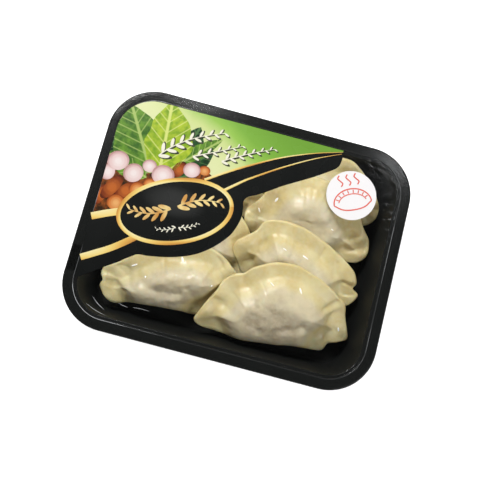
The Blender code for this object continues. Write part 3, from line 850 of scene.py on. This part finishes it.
def ellipse(centre, half_length, half_width, turn, steps=96):
    """Points of a turned ellipse."""
    cos, sin = math.cos(math.radians(turn)), math.sin(math.radians(turn))
    points = []
    for angle in np.arange(steps) * 2 * math.pi / steps:
        x, y = half_length * math.cos(angle), half_width * math.sin(angle)
        points.append((centre[0] + x * cos - y * sin, centre[1] + x * sin + y * cos))
    return points


def through(points, steps=8):
    """An open smooth line through points given in millimetres."""
    points = [np.array(p) / 1000 for p in points]
    ends = [2 * points[0] - points[1], *points, 2 * points[-1] - points[-2]]
    return smooth_line(np.array(ends), steps)[steps : -2 * steps + 1]


def cropped(outline, field):
    """An outline cut to an anticlockwise convex field."""
    kept = [np.array(p) for p in outline]
    for start, end in zip(field, np.roll(field, -1, axis=0)):
        edge = end - start
        sides = [edge[0] * (p[1] - start[1]) - edge[1] * (p[0] - start[0]) for p in kept]
        clipped = []
        for i, here in enumerate(kept):
            before, side, side_before = kept[i - 1], sides[i], sides[i - 1]
            if (side >= 0) != (side_before >= 0):
                clipped.append(before + (here - before) * side_before / (side_before - side))
            if side >= 0:
                clipped.append(here)
        kept = clipped
    kept = np.array(kept)
    steps = np.linalg.norm(kept - np.roll(kept, 1, axis=0), axis=1)
    return kept[steps > LEAST_STEP]


def leaf_outline(base, tip, width, bend=0.0, steps=18):
    """A leaf with a waved edge from base to tip, its midrib bowed sideways by bend."""
    run = tip - base
    sideways = np.array([-run[1], run[0]]) / np.linalg.norm(run)
    t = np.linspace(0, 1, steps + 1)
    half = width / 2 * np.sin(math.pi * t**0.85) ** 0.75 * (1 + 0.06 * np.sin(6 * math.pi * t))
    rib = base + run * t[:, None] + sideways * (bend * np.sin(math.pi * t))[:, None]
    left = rib + sideways * half[:, None]
    right = rib - sideways * half[:, None]
    return np.concatenate((left[:-1], right[:0:-1]))


def ink_top(level):
    """The height of the upper face of ink printed at that level."""
    return LABEL_BASE + level * INK_STEP + INK_THICKNESS


class Ink:
    """Thin closed shapes of one print colour, gathered into one piece."""

    def __init__(self):
        self.shape = bmesh.new()
        self.chart = self.shape.loops.layers.uv.new("UVMap")

    def add(self, outline, level, centre=(0.0, 0.0), size=1.0, angle=0.0):
        """A shape from its outline; its UV map is measured from its centre, turned and scaled."""
        top = ink_top(level)
        rings = [[self.shape.verts.new((x, y, z)) for x, y in outline] for z in (top, top - INK_THICKNESS)]
        faces = [self.shape.faces.new(ring) for ring in rings]
        for i in range(len(outline)):
            faces.append(self.shape.faces.new((rings[0][i - 1], rings[0][i], rings[1][i], rings[1][i - 1])))
        cos, sin = math.cos(math.radians(angle)), math.sin(math.radians(angle))
        for face in faces:
            for corner in face.loops:
                x, y = corner.vert.co.x - centre[0], corner.vert.co.y - centre[1]
                corner[self.chart].uv = ((x * cos + y * sin) / size, (y * cos - x * sin) / size)

    def ribbon(self, line, widths, level, closed=False):
        """A band along a line, with its length in centimetres as U and its width as V."""
        line = np.array(line)
        runs = np.roll(line, -1, 0) - np.roll(line, 1, 0) if closed else np.gradient(line, axis=0)
        sideways = np.stack([-runs[:, 1], runs[:, 0]], axis=1) / np.linalg.norm(runs, axis=1)[:, None]
        half = np.broadcast_to(np.asarray(widths, float), (len(line),))[:, None] / 2
        along = np.concatenate(([0], np.cumsum(np.linalg.norm(np.diff(line, axis=0), axis=1)))) * 100
        top = ink_top(level)
        rows = []
        for side, z in ((1, top), (-1, top), (-1, top - INK_THICKNESS), (1, top - INK_THICKNESS)):
            rows.append([self.shape.verts.new((x, y, z)) for x, y in line + side * sideways * half])
        places = {}
        for row, across in zip(rows, (1.0, 0.0, 0.0, 1.0)):
            places.update({vert: (along[i], across) for i, vert in enumerate(row)})
        count = len(line)
        faces = []
        for i in range(count if closed else count - 1):
            j = (i + 1) % count
            for a, b in zip(rows, rows[1:] + rows[:1]):
                faces.append(self.shape.faces.new((a[i], a[j], b[j], b[i])))
        if not closed:
            for end in (0, -1):
                faces.append(self.shape.faces.new([row[end] for row in rows]))
        for face in faces:
            for corner in face.loops:
                corner[self.chart].uv = places[corner.vert]

    def piece(self, name, finish, slot):
        """The gathered shapes as one piece."""
        bmesh.ops.recalc_face_normals(self.shape, faces=self.shape.faces)
        bmesh.ops.triangulate(self.shape, faces=self.shape.faces)
        mesh = bpy.data.meshes.new(name)
        self.shape.to_mesh(mesh)
        self.shape.free()
        made = placed(name, mesh, finish.material)
        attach(made, "root")
        return made


def print_finish(name):
    """Glossy varnished ink."""
    finish = Finish(name, Specular_IOR_Level=0.16)
    finish.drive(Roughness=0.20 + 0.14 * finish.noise(45, 3))
    return finish


def chart_of(finish):
    """The two directions of a printed shape's own UV map."""
    chart = finish.node("UVMap", {"uv_map": "UVMap"})
    return finish.axis(0, chart), finish.axis(1, chart)


def grained(name, scale, dark, light):
    """Ink of one colour with a fine grain between two screen tones."""
    finish = print_finish(name)
    finish.drive(Base_Color=finish.blend(finish.noise(scale), screen(*dark), screen(*light)))
    return finish


corner_arc = arc((LABEL_LEFT + LABEL_RADIUS, LABEL_BACK - LABEL_RADIUS), LABEL_RADIUS, 90, 180)
lower_edge = through(
    (
        (-86.8, -45.8), (-77.5, -39.2), (-71.5, -33.6), (-65.8, -31.2), (-58.5, -30.4), (-43.7, -27.3),
        (-31, -22.6), (-22.4, -17.4), (-14.5, -10.4), (-7.4, -1.5), (-4.1, 6.3), (-2.6, 13.8),
        (-3.2, 20.8), (-4.0, 25.8), (-1.6, 29.6), (4.1, 32.6), (12.5, 38.2), (20.9, 44.2), (38.5, 55.0),
        (51.0, 63.6), (55.9, 67.8), (57.7, 73.0), (57.6, 81.5),
    )
)
label_outline = np.concatenate((corner_arc, [LABEL_FOOT], lower_edge))

black_print = print_finish("black_print")
gleam_x = black_print.axis(0) - OVAL_GLEAM[0]
gleam_y = black_print.axis(1) - OVAL_GLEAM[1]
gleam = 1 - (gleam_x * gleam_x * OVAL_GLEAM_FALL[0] + gleam_y * gleam_y * OVAL_GLEAM_FALL[1])
black_tone = black_print.blend(gleam.between(0.0, 1.0), screen(19, 21, 20), screen(50, 51, 50))
black_print.drive(Base_Color=black_tone)
label_ink = Ink()
label_ink.add(label_outline, 0)
label_base = label_ink.piece("label_base", black_print, "label")
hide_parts("label")

# The green field's lower border: the left band's top, behind the oval, and the upper gold line.
band_top = through(((-107.2, -10.6), (-97.9, -6.4), (-90.2, -3.3), (-80, 1)))
behind_oval = (-0.06, 0.012)
upper_gold = through(((-35.3, 33.4), (-22.4, 42.4), (-6.3, 52.5), (14.5, 64.2), (36.0, 73.4), (57.2, 80.2)))
label_edge = np.concatenate((corner_arc, [LABEL_FOOT, (0.0, -0.06), LABEL_TIP]))
field_outline = np.concatenate((corner_arc, band_top, [behind_oval], upper_gold, [LABEL_TIP]))

green_print = print_finish("green_print")
slant = green_print.axis(0) * FIELD_FADE[0] + green_print.axis(1) * FIELD_FADE[1]
streaks = green_print.noise(26, 3, 0.5, stretch=(1.0, 0.35, 1.0))
shade = (slant + streaks * 0.012 - 0.006).between(0.020, 0.085)
green_stops = [
    (0.0, screen(232, 238, 178)),
    (0.22, screen(214, 228, 150)),
    (0.42, screen(158, 204, 88)),
    (0.62, screen(132, 184, 70)),
    (1.0, screen(118, 168, 62)),
]
green_print.drive(Base_Color=green_print.node("ValToRGB", {"stops": green_stops}, {0: shade}))
green_ink = Ink()
green_ink.add(cropped(field_outline, label_edge), FIELD_LEVEL)
green_ink.piece("label_green_field", green_print, "label")


# The green field's pictures. Shaded earth, leaves, roots and cut onions, printed one over the
# other and all cut to the label's edge.

EARTH_LEVEL = 2
EARTH = (
    (-112, 26), (-100, 30), (-84, 26), (-70, 30), (-56, 38), (-44, 43), (-36, 40), (-30, 34),
    (-44, 14), (-70, -4), (-112, -16),
)

# Leaf tones as screen values: dark, light and vein.
LEAF_TONES = {
    "deep": ((16, 44, 22), (38, 84, 40), (84, 124, 70)),
    "middle": ((58, 104, 34), (112, 158, 52), (176, 200, 110)),
    "bright": ((122, 164, 34), (186, 208, 56), (222, 232, 130)),
}

# Each leaf's base and tip, its width and its midrib's bow in millimetres, and its level.
LEAVES = {
    "deep": (
        ((-58, 30), (-34, 56), 20, 2, 3), ((-80, 26), (-110, 46), 22, 0, 3),
        ((-64, 28), (-48, 71), 24, -3, 4), ((-70, 22), (-42, 36), 12, 0, 4),
    ),
    "middle": (
        ((-74, 28), (-101, 74), 36, 3, 5), ((-76, 24), (-112, 36), 14, 1, 6),
        ((-56, 40), (-30, 66), 10, 1, 5),
    ),
    "bright": (((-68, 28), (-73, 84), 34, -3, 7),),
}

# Rounds as screen values of their middle, body and border, and then each one's centre, half
# length and half width in millimetres, turn in degrees, and level.
ROUNDS = {
    "onions": (
        ((250, 236, 232), (236, 204, 200), (196, 150, 146)),
        (
            (-99, 31, 8.0, 7.2, 20, 9), (-86, 25, 7.4, 6.8, 40, 10), (-65, 29, 8.2, 7.4, 0, 10),
            (-46, 38, 6.2, 5.6, 10, 8), (-104, 21, 6.0, 5.2, 80, 8), (-76, 33, 5.2, 4.8, 0, 8),
        ),
    ),
    "roots": (
        ((196, 104, 44), (128, 54, 24), (54, 26, 16)),
        (
            (-98, 11, 11.0, 4.6, 62, 10), (-88, 11, 9.5, 4.2, 48, 9), (-55, 36, 7.0, 4.4, 65, 7),
            (-104, 4, 9.0, 4.0, 70, 8),
        ),
    ),
    "slices": (
        ((240, 178, 110), (214, 122, 56), (150, 70, 30)),
        (
            (-80, 14, 6.2, 5.6, 20, 11), (-92, 1, 6.6, 5.8, 10, 11), (-72, 20, 5.0, 4.4, 0, 9),
            (-37, 40, 4.2, 3.6, 0, 7),
        ),
    ),
}


def on_label(ink, outline, level, **chart):
    """Adds a shape cut to the label's own edge."""
    ink.add(cropped(outline, label_edge), level, **chart)


earth_print = print_finish("earth_print")
earth_grain = earth_print.noise(240, 4, 0.6, stretch=(1.0, 0.5, 1.0)).between(0.35, 0.65)
earth_print.drive(Base_Color=earth_print.blend(earth_grain, screen(52, 34, 16), screen(158, 84, 34)))
earth_ink = Ink()
on_label(earth_ink, through(EARTH), EARTH_LEVEL)
earth_ink.piece("label_earth", earth_print, "label")

for tone, (dark, light, vein) in LEAF_TONES.items():
    leaf_print = print_finish("leaf_print_" + tone)
    along, across = chart_of(leaf_print)
    aside = leaf_print.node("Math", {"operation": "ABSOLUTE"}, {0: across})
    midrib = 1 - aside.between(0.010, 0.028)
    ribs = leaf_print.node("Math", {"operation": "PINGPONG"}, {0: (along - aside * 0.9) * 7.0, 1: 0.5})
    veins = (1 - ribs.between(0.03, 0.11)) * 0.7 + midrib
    blotches = leaf_print.noise(150, 4, 0.6).between(0.32, 0.68)
    leaf_colour = leaf_print.blend(blotches, screen(*dark), screen(*light))
    leaf_print.drive(Base_Color=leaf_print.blend(veins, leaf_colour, screen(*vein)))
    leaf_ink = Ink()
    for base, tip, width, bow, level in LEAVES[tone]:
        base, tip = np.array(base) / 1000, np.array(tip) / 1000
        heading = math.degrees(math.atan2(*(tip - base)[::-1]))
        outline = leaf_outline(base, tip, width / 1000, bow / 1000)
        on_label(leaf_ink, outline, level, centre=base, size=math.dist(base, tip), angle=heading)
    leaf_ink.piece("label_leaves_" + tone, leaf_print, "label")

for kind, ((middle, body, border), rounds) in ROUNDS.items():
    round_print = print_finish("round_print_" + kind)
    along, across = chart_of(round_print)
    away = (along * along + across * across) ** 0.5
    rings = round_print.node("Math", {"operation": "PINGPONG"}, {0: away * 4.0, 1: 0.5}) * 0.16
    lit = away + rings + across * 0.25 + round_print.noise(200, 3) * 0.2 - 0.16
    round_stops = [(0.15, screen(*middle)), (0.72, screen(*body)), (1.0, screen(*border))]
    round_print.drive(Base_Color=round_print.node("ValToRGB", {"stops": round_stops}, {0: lit}))
    round_ink = Ink()
    for x, y, half_length, half_width, heading, level in rounds:
        centre = (x / 1000, y / 1000)
        outline = ellipse(centre, half_length / 1000, half_width / 1000, heading, 40)
        on_label(round_ink, outline, level, centre=centre, size=half_length / 1000, angle=heading)
    round_ink.piece("label_" + kind, round_print, "label")


# The label's black lower part. It covers the pictures' feet and carries two gold lines, two gold
# bands, and the oval in its gold rim.

COVER_LEVEL = 13
BAND_LEVEL = 14
OVAL_LEVEL = 15
OVAL_RIM_LEVEL = 16
UPPER_LINE_WIDTHS = (0.0019, 0.0003)
LOWER_LINE_WIDTHS = (0.0021, 0.0003)
BAND_WIDTHS = (0.0052, 0.0046)

cover_ink = Ink()
cover_outline = np.concatenate((band_top, [behind_oval], upper_gold, lower_edge[::-1], [LABEL_FOOT]))
cover_ink.add(cover_outline, COVER_LEVEL)
cover_ink.piece("label_black_band", black_print, "label")

gold_print = print_finish("gold_print")
gold_along, gold_across = chart_of(gold_print)
gold_wave = gold_print.node("Math", {"operation": "SINE"}, {0: gold_along * 1.15 + gold_across * 0.8})
gold_sweep = gold_wave * 0.3 + gold_across * 0.45 + 0.30
gold_stops = [
    (0.0, screen(205, 140, 66)),
    (0.30, screen(236, 184, 92)),
    (0.62, screen(252, 222, 130)),
    (1.0, screen(255, 240, 176)),
]
gold_print.drive(Base_Color=gold_print.node("ValToRGB", {"stops": gold_stops}, {0: gold_sweep}))
lower_gold = through(((-21.5, 28.0), (-11.9, 36.5), (-3.8, 43.0), (16.3, 56.8), (37.0, 69.2), (56.6, 78.6)))
left_upper_band = through(((-106.0, -13.3), (-97.4, -9.1), (-89.5, -5.6), (-84, -3)))
left_lower_band = through(((-104.9, -43.6), (-95.3, -37.7), (-86, -31.7), (-74.5, -22.4), (-68, -16)))
oval_line = ellipse(OVAL_CENTRE, OVAL_SIZE[0] - OVAL_RIM / 2, OVAL_SIZE[1] - OVAL_RIM / 2, OVAL_TURN)
gold_ink = Ink()
gold_ink.ribbon(upper_gold, np.linspace(*UPPER_LINE_WIDTHS, len(upper_gold)), BAND_LEVEL)
gold_ink.ribbon(lower_gold, np.linspace(*LOWER_LINE_WIDTHS, len(lower_gold)), BAND_LEVEL)
gold_ink.ribbon(left_upper_band, BAND_WIDTHS[0], BAND_LEVEL)
gold_ink.ribbon(left_lower_band, BAND_WIDTHS[1], BAND_LEVEL)
gold_ink.ribbon(oval_line, OVAL_RIM, OVAL_RIM_LEVEL, closed=True)
gold_ink.piece("label_gold", gold_print, "label")

oval_ink = Ink()
oval_ink.add(ellipse(OVAL_CENTRE, OVAL_SIZE[0] - 0.001, OVAL_SIZE[1] - 0.001, OVAL_TURN), OVAL_LEVEL)
oval_ink.piece("label_oval", black_print, "label")


# The sprigs. Gold ones and small pale ones in the oval, and pale ones with a dark shadow over the
# green field, printed like the rest: leaflets set in turn along a bowed stem, smaller to its tip.

SHADOW_FALL = 0.6
SHADOW_LEVEL = 11
VINE_LEVEL = 12
OVAL_SPRIG_LEVEL = 17


def sprig_tree(finish):
    """Nodes that set leaflets along a bowed stem, from its start, middle and end."""
    tree = bpy.data.node_groups.new("sprig", "GeometryNodeTree")
    inputs = {}
    for name, kind, value in (
        ("Start", "NodeSocketVector", (0, 0, 0)),
        ("Middle", "NodeSocketVector", (0.01, 0, 0)),
        ("End", "NodeSocketVector", (0.02, 0, 0)),
        ("Leaflets", "NodeSocketInt", 12),
        ("Leaflet Length", "NodeSocketFloat", 0.005),
        ("Spread", "NodeSocketFloat", 0.8),
        ("Stem Width", "NodeSocketFloat", 0.0006),
    ):
        socket = tree.interface.new_socket(name, in_out="INPUT", socket_type=kind)
        socket.default_value = value
        inputs[name] = socket.identifier
    tree.interface.new_socket("Geometry", in_out="OUTPUT", socket_type="NodeSocketGeometry")
    given = tree.nodes.new("NodeGroupInput").outputs

    def node(kind, settings=None, links=None, output=0):
        made = tree.nodes.new(kind)
        for setting, value in (settings or {}).items():
            setattr(made, setting, value)
        for socket, value in (links or {}).items():
            if isinstance(value, bpy.types.NodeSocket):
                tree.links.new(value, made.inputs[socket])
            else:
                made.inputs[socket].default_value = value
        return made.outputs[output]

    bowed = {"Resolution": 40, **{name: given[name] for name in ("Start", "Middle", "End")}}
    stem = node("GeometryNodeCurveQuadraticBezier", None, bowed)
    profile = node("GeometryNodeCurvePrimitiveCircle", None, {"Resolution": 8, "Radius": 0.5})
    taper = node("GeometryNodeSplineParameter")
    thinned = node("ShaderNodeMath", {"operation": "MULTIPLY_ADD"}, {0: taper, 1: -0.7, 2: 1.0})
    width = node("ShaderNodeMath", {"operation": "MULTIPLY"}, {0: thinned, 1: given["Stem Width"]})
    drawn = {"Curve": stem, "Profile Curve": profile, "Scale": width, "Fill Caps": True}
    stalk = node("GeometryNodeCurveToMesh", None, drawn)
    points = node("GeometryNodeCurveToPoints", {"mode": "COUNT"}, {"Curve": stem, "Count": given["Leaflets"]})
    heading = points.node.outputs["Tangent"]
    aligned = node("FunctionNodeAlignRotationToVector", {"axis": "X", "pivot_axis": "Z"}, {"Vector": heading})
    order = node("GeometryNodeInputIndex")
    side = node("ShaderNodeMath", {"operation": "MODULO"}, {0: order, 1: 2.0})
    signed = node("ShaderNodeMath", {"operation": "MULTIPLY_ADD"}, {0: side, 1: 2.0, 2: -1.0})
    turn = node("ShaderNodeMath", {"operation": "MULTIPLY"}, {0: signed, 1: given["Spread"]})
    euler = node("ShaderNodeCombineXYZ", None, {2: turn})
    euler = node("FunctionNodeEulerToRotation", None, {0: euler})
    spun = node("FunctionNodeRotateRotation", {"rotation_space": "LOCAL"}, {0: aligned, 1: euler})
    share = node("ShaderNodeMath", {"operation": "DIVIDE"}, {0: order, 1: given["Leaflets"]})
    shrink = node("ShaderNodeMath", {"operation": "MULTIPLY_ADD"}, {0: share, 1: -0.55, 2: 1.0})
    size = node("ShaderNodeMath", {"operation": "MULTIPLY"}, {0: shrink, 1: given["Leaflet Length"]})
    leaflet = node("GeometryNodeMeshIcoSphere", None, {"Radius": 0.5, "Subdivisions": 3})
    shaped = {"Geometry": leaflet, "Translation": (0.5, 0, 0), "Scale": (1.0, 0.34, 1.0)}
    leaflet = node("GeometryNodeTransform", None, shaped)
    spread = {"Points": points, "Instance": leaflet, "Rotation": spun, "Scale": size}
    leaves = node("GeometryNodeInstanceOnPoints", None, spread)
    joined = tree.nodes.new("GeometryNodeJoinGeometry")
    tree.links.new(stalk, joined.inputs[0])
    tree.links.new(leaves, joined.inputs[0])
    whole = node("GeometryNodeRealizeInstances", None, {"Geometry": joined.outputs[0]})
    whole = node("GeometryNodeSetMaterial", None, {"Geometry": whole, "Material": finish.material})
    tree.links.new(whole, tree.nodes.new("NodeGroupOutput").inputs[0])
    return tree, inputs


def sprig(name, finish, level, runs, spread, stem_width):
    """A piece of printed sprigs, from runs of start, middle, end, leaflets and their length."""
    tree, inputs = sprig_tree(finish)
    shape = bmesh.new()
    for start, middle, end, leaflets, length in runs:
        holder = bpy.data.objects.new(name, bpy.data.meshes.new(name))
        bpy.context.scene.collection.objects.link(holder)
        grown = holder.modifiers.new("sprig", "NODES")
        grown.node_group = tree
        values = {
            "Start": (*(c / 1000 for c in start), 0.0),
            "Middle": (*(c / 1000 for c in middle), 0.0),
            "End": (*(c / 1000 for c in end), 0.0),
            "Leaflets": leaflets,
            "Leaflet Length": length / 1000,
            "Spread": spread,
            "Stem Width": stem_width / 1000,
        }
        for key, value in values.items():
            grown[inputs[key]] = value
        shape.from_mesh(finalised(holder).data)
        bpy.data.objects.remove(holder)
    height = max(v.co.z for v in shape.verts)
    for vert in shape.verts:
        vert.co.z = ink_top(level) + vert.co.z / height * INK_THICKNESS
    mesh = bpy.data.meshes.new(name)
    shape.to_mesh(mesh)
    shape.free()
    made = placed(name, mesh, finish.material)
    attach(made, "root")


def in_oval(along, across):
    """A place in the oval, from millimetres along and across it, in millimetres of the tray."""
    cos, sin = math.cos(math.radians(OVAL_TURN)), math.sin(math.radians(OVAL_TURN))
    x = OVAL_CENTRE[0] * 1000 + along * cos - across * sin
    y = OVAL_CENTRE[1] * 1000 + along * sin + across * cos
    return x, y


sprig_gold = print_finish("sprig_gold")
gold_fall = sprig_gold.noise(90, 2, stretch=(1, 1, 0)).between(0.3, 0.7)
sprig_gold.drive(Base_Color=sprig_gold.blend(gold_fall, screen(212, 150, 74), screen(255, 232, 160)))
gold_runs = (
    (in_oval(-3, 2), in_oval(-17, -3), in_oval(-32, 5), 11, 9.4),
    (in_oval(2, 3), in_oval(17, 9), in_oval(33, 2), 11, 9.0),
)
sprig("label_sprig_gold", sprig_gold, OVAL_SPRIG_LEVEL, gold_runs, spread=0.70, stem_width=1.4)

vine_runs = (
    ((-72, 42), (-60, 60), (-30, 71), 15, 8.0),
    ((-48, 48), (-34, 55), (-15, 65), 11, 5.4),
    ((-27, 50), (-12, 60), (8, 69), 13, 5.4),
)
tag_runs = (
    (in_oval(-1, -12), in_oval(-8, -14), in_oval(-15, -11), 9, 3.2),
    (in_oval(1, -12), in_oval(8, -14), in_oval(15, -11), 9, 3.2),
)
shadow_runs = []
for *stem, leaflets, length in vine_runs:
    fallen = [(x + SHADOW_FALL, y - SHADOW_FALL) for x, y in stem]
    shadow_runs.append((*fallen, leaflets, length * 1.2))
vine_shadow = grained("vine_shadow", 300, (52, 58, 44), (78, 84, 62))
sprig("label_vine_shadow", vine_shadow, SHADOW_LEVEL, shadow_runs, spread=0.80, stem_width=2.0)
vine_pale = grained("vine_pale", 300, (244, 240, 214), (255, 252, 236))
sprig("label_vine", vine_pale, VINE_LEVEL, vine_runs, spread=0.80, stem_width=0.9)
sprig("label_vine_tag", vine_pale, OVAL_SPRIG_LEVEL, tag_runs, spread=0.80, stem_width=0.5)


# The sticker. A round of white coated paper stuck to the film, with a thin line drawing of a
# dumpling under three curls of steam.

STICKER_CENTRE = (0.0705, 0.0503)
STICKER_RADIUS = 0.0183
STICKER_TURN = 24.0
STICKER_SPREAD = 1.32
STICKER_LINE = 0.00095
STICKER_FINE_LINE = 0.00076
DRAWING_LEVEL = 2

white_paper = Finish("white_paper", Roughness=0.45, Specular_IOR_Level=0.3)
fibres = white_paper.noise(900, 3)
white_paper.drive(Base_Color=white_paper.blend(fibres, (0.80, 0.785, 0.785), (0.84, 0.82, 0.82)))
white_paper.bump(fibres, 0.00004, 0.3)
paper_ink = Ink()
paper_ink.add(ellipse(STICKER_CENTRE, STICKER_RADIUS, STICKER_RADIUS, 0), 0)
sticker = paper_ink.piece("sticker_paper", white_paper, "sticker")
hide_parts("sticker")


def bow(half_length, rise, low, margin=0.0, count=13):
    """Points along an ellipse's upper half, in millimetres, from right to left."""
    angles = np.linspace(margin, math.pi - margin, count)
    return [(half_length * math.cos(a), low + rise * math.sin(a)) for a in angles]


def on_sticker(points, steps=8):
    """A smooth line over the sticker, from points in millimetres about its centre."""
    cos, sin = math.cos(math.radians(STICKER_TURN)), math.sin(math.radians(STICKER_TURN))
    turned = [(STICKER_SPREAD * (x * cos - y * sin), STICKER_SPREAD * (x * sin + y * cos)) for x, y in points]
    return through(turned, steps) + np.array(STICKER_CENTRE)


red_ink = grained("red_ink", 500, (236, 96, 82), (244, 128, 112))
drawing = Ink()
underside = ((-10.5, -4.5), (-6, -7.4), (0, -8.2), (6, -7.4), (10.5, -4.5))
drawing.ribbon(on_sticker(bow(10.5, 8.2, -4.5)), STICKER_LINE, DRAWING_LEVEL)
drawing.ribbon(on_sticker(underside), STICKER_LINE, DRAWING_LEVEL)
drawing.ribbon(on_sticker(bow(8.0, 5.4, -4.6, 0.25, 11)), STICKER_FINE_LINE, DRAWING_LEVEL)
for pinch in zip(bow(8.3, 5.8, -4.5, 0.45, 8), bow(9.9, 7.6, -4.5, 0.45, 8)):
    drawing.ribbon(on_sticker(pinch, 2), STICKER_FINE_LINE, DRAWING_LEVEL + 1)
for x in (-4.6, 0.0, 4.6):
    curl = ((x, 5.6), (x + 1.1, 7.2), (x, 8.8), (x - 1.1, 10.4), (x, 12.0))
    drawing.ribbon(on_sticker(curl), STICKER_LINE, DRAWING_LEVEL)
drawing.piece("sticker_drawing", red_ink, "sticker")


# The film's gleams. A fine bright line where the weld ends, broken along its length, and short
# stray creases near the corners, each a hair-thin raised fold of film. Their light grey, partly
# see-through colour is a painted highlight, stronger towards the tray's left and right sides.

WELD_LINE_INSET = 0.0076
WELD_LINE_WIDTH = 0.00032
CREASE_WIDTH = 0.00030
FOLD_LEVEL = (FILM_HEIGHT + 0.00015 - LABEL_BASE) / INK_STEP

# Each crease's points in millimetres.
FILM_CREASES = (
    ((-70.3, -67.9), (-66.8, -68.8), (-63.3, -69.2)), ((-59.7, -68.3), (-54.0, -67.9), (-47.9, -68.0)),
    ((-91.7, -73.9), (-84.7, -76.7), (-76.1, -78.8)), ((-89.0, -68.0), (-84.0, -72.0), (-78.5, -75.0)),
    ((83.6, 75.3), (88.5, 73.1), (93.8, 69.5)), ((99.8, -73.0), (100.6, -71.2), (101.0, -69.0)),
    ((101.6, -71.5), (102.8, -68.6), (103.0, -66.0)), ((103.4, -65.6), (104.6, -64.0), (105.2, -61.6)),
    ((98.2, -70.2), (99.6, -68.6), (100.2, -66.6)),
)

# Painted highlight: the folds are light grey and partly see-through, broken in patches.
gleaming = Finish("film_gleam", Base_Color=(0.82, 0.84, 0.86, 1), Roughness=0.18, Coat_Weight=0.6)
broken = gleaming.noise(34, 3, 0.6).between(0.46, 0.60)
across_tray = gleaming.axis(0)
# Painted highlight, strongest towards the tray's left side and weaker on its right, where the light falls.
lit_sides = 1 - across_tray.between(-0.070, -0.030) + across_tray.between(0.080, 0.104) * 0.35
gleaming.drive(Alpha=(0.06 + 0.34 * broken) * lit_sides + 0.02)
gleams = Ink()
gleams.ribbon(rounded_rectangle(WELD_LINE_INSET), WELD_LINE_WIDTH, FOLD_LEVEL, closed=True)
for points in FILM_CREASES:
    line = through(points)
    widths = CREASE_WIDTH * np.sin(np.linspace(0.3, math.pi - 0.3, len(line)))
    gleams.ribbon(line, widths, FOLD_LEVEL + 1)
gleams.piece("film_gleams", gleaming, "film")


# The floor, the light and the view. A white sheet under soft light from above and behind, seen
# from almost overhead, with the tray's front edge nearest.

VIEW_RISE = 79.253
VIEW_TURN = -0.967
VIEW_ROLL = 15.774
VIEW_DISTANCE = 0.572
VIEW_SHIFT = (-0.134 / 480, -3.511 / 480)
VIEW_LENS = 60
VIEW_SENSOR = 36
FLOOR_HALF = 2.5
FLOOR_DROP = 0.0002
FLOOR_RISES_FROM = 1.6
FLOOR_BEND = 0.12
SKY_LIGHT = {"From Min": 0.30, "From Max": 0.80, "To Min": 0.60, "To Max": 0.08}

# Round lamps that face the tray: place, diameter and power.
LAMPS = {
    "window": ((-0.44, 0.60, 0.92), 0.36, 9.9),
    "lamp": ((-0.20, 0.80, 0.95), 0.10, 2.0),
    "fill": ((0.62, -0.38, 0.70), 0.60, 3.4),
    "card_left": ((-0.145, 0.46, 1.0), 0.10, 0.34),
    "card_right": ((0.29, 0.44, 1.0), 0.12, 0.30),
}

floor_shape = bmesh.new()
bmesh.ops.create_grid(floor_shape, x_segments=24, y_segments=24, size=FLOOR_HALF)
for vert in floor_shape.verts:
    vert.co.z = -FLOOR_DROP + FLOOR_BEND * max(0.0, vert.co.length - FLOOR_RISES_FROM) ** 2
floor_mesh = bpy.data.meshes.new("floor_sheet")
floor_shape.to_mesh(floor_mesh)
floor_shape.free()
floor_paint = Finish("floor_paint", Roughness=0.9, Specular_IOR_Level=0.1, Emission_Strength=0.80)
tint = floor_paint.blend(floor_paint.noise(3, 2), (0.88, 0.88, 0.88), (0.91, 0.91, 0.91))
floor_paint.drive(Base_Color=tint, Emission_Color=tint)
floor_mesh.materials.append(floor_paint.material)
floor = bpy.data.objects.new("floor_sheet", floor_mesh)
bpy.context.scene.collection.objects.link(floor)

# The print throws no shadow on the food beside it, as under light from all round.
for piece in bpy.data.objects:
    if piece.name.startswith("label_"):
        piece.visible_shadow = False

for name, (place, diameter, power) in LAMPS.items():
    lamp = bpy.data.lights.new(name, "AREA")
    lamp.shape = "DISK"
    lamp.size = diameter
    lamp.energy = power
    holder = bpy.data.objects.new(name, lamp)
    bpy.context.scene.collection.objects.link(holder)
    holder.location = place
    holder.rotation_euler = (-Vector(place)).to_track_quat("-Z", "Y").to_euler()

world = bpy.data.worlds.new("room")
world.use_nodes = True
sky = world.node_tree
ray = sky.nodes.new("ShaderNodeTexCoord")
split = sky.nodes.new("ShaderNodeSeparateXYZ")
fade = sky.nodes.new("ShaderNodeMapRange")
fade.interpolation_type = "SMOOTHSTEP"
for socket, value in SKY_LIGHT.items():
    fade.inputs[socket].default_value = value
sky.links.new(ray.outputs["Generated"], split.inputs[0])
sky.links.new(split.outputs["Z"], fade.inputs["Value"])
sky.links.new(fade.outputs["Result"], sky.nodes["Background"].inputs["Strength"])
sky.nodes["Background"].inputs["Color"].default_value = (1, 1, 1, 1)
bpy.context.scene.world = world
bpy.context.scene.view_settings.view_transform = "Standard"

rise, turn, roll = (math.radians(angle) for angle in (VIEW_RISE, VIEW_TURN, VIEW_ROLL))
back = Vector((math.sin(turn) * math.cos(rise), -math.cos(turn) * math.cos(rise), math.sin(rise)))
level_right = (-back).cross(Vector((0, 0, 1))).normalized()
level_up = level_right.cross(-back)
right = math.cos(roll) * level_right + math.sin(roll) * level_up
up = math.cos(roll) * level_up - math.sin(roll) * level_right
view = bpy.data.cameras.new("view")
view.lens = VIEW_LENS
view.sensor_width = VIEW_SENSOR
view.shift_x, view.shift_y = VIEW_SHIFT
view.clip_start = 0.01
camera = bpy.data.objects.new("view", view)
bpy.context.scene.collection.objects.link(camera)
stand = Matrix.Translation(Vector((0, 0, TRAY_HEIGHT)) + back * VIEW_DISTANCE)
camera.matrix_world = stand @ Matrix((right, up, back)).transposed().to_4x4()
bpy.context.scene.camera = camera
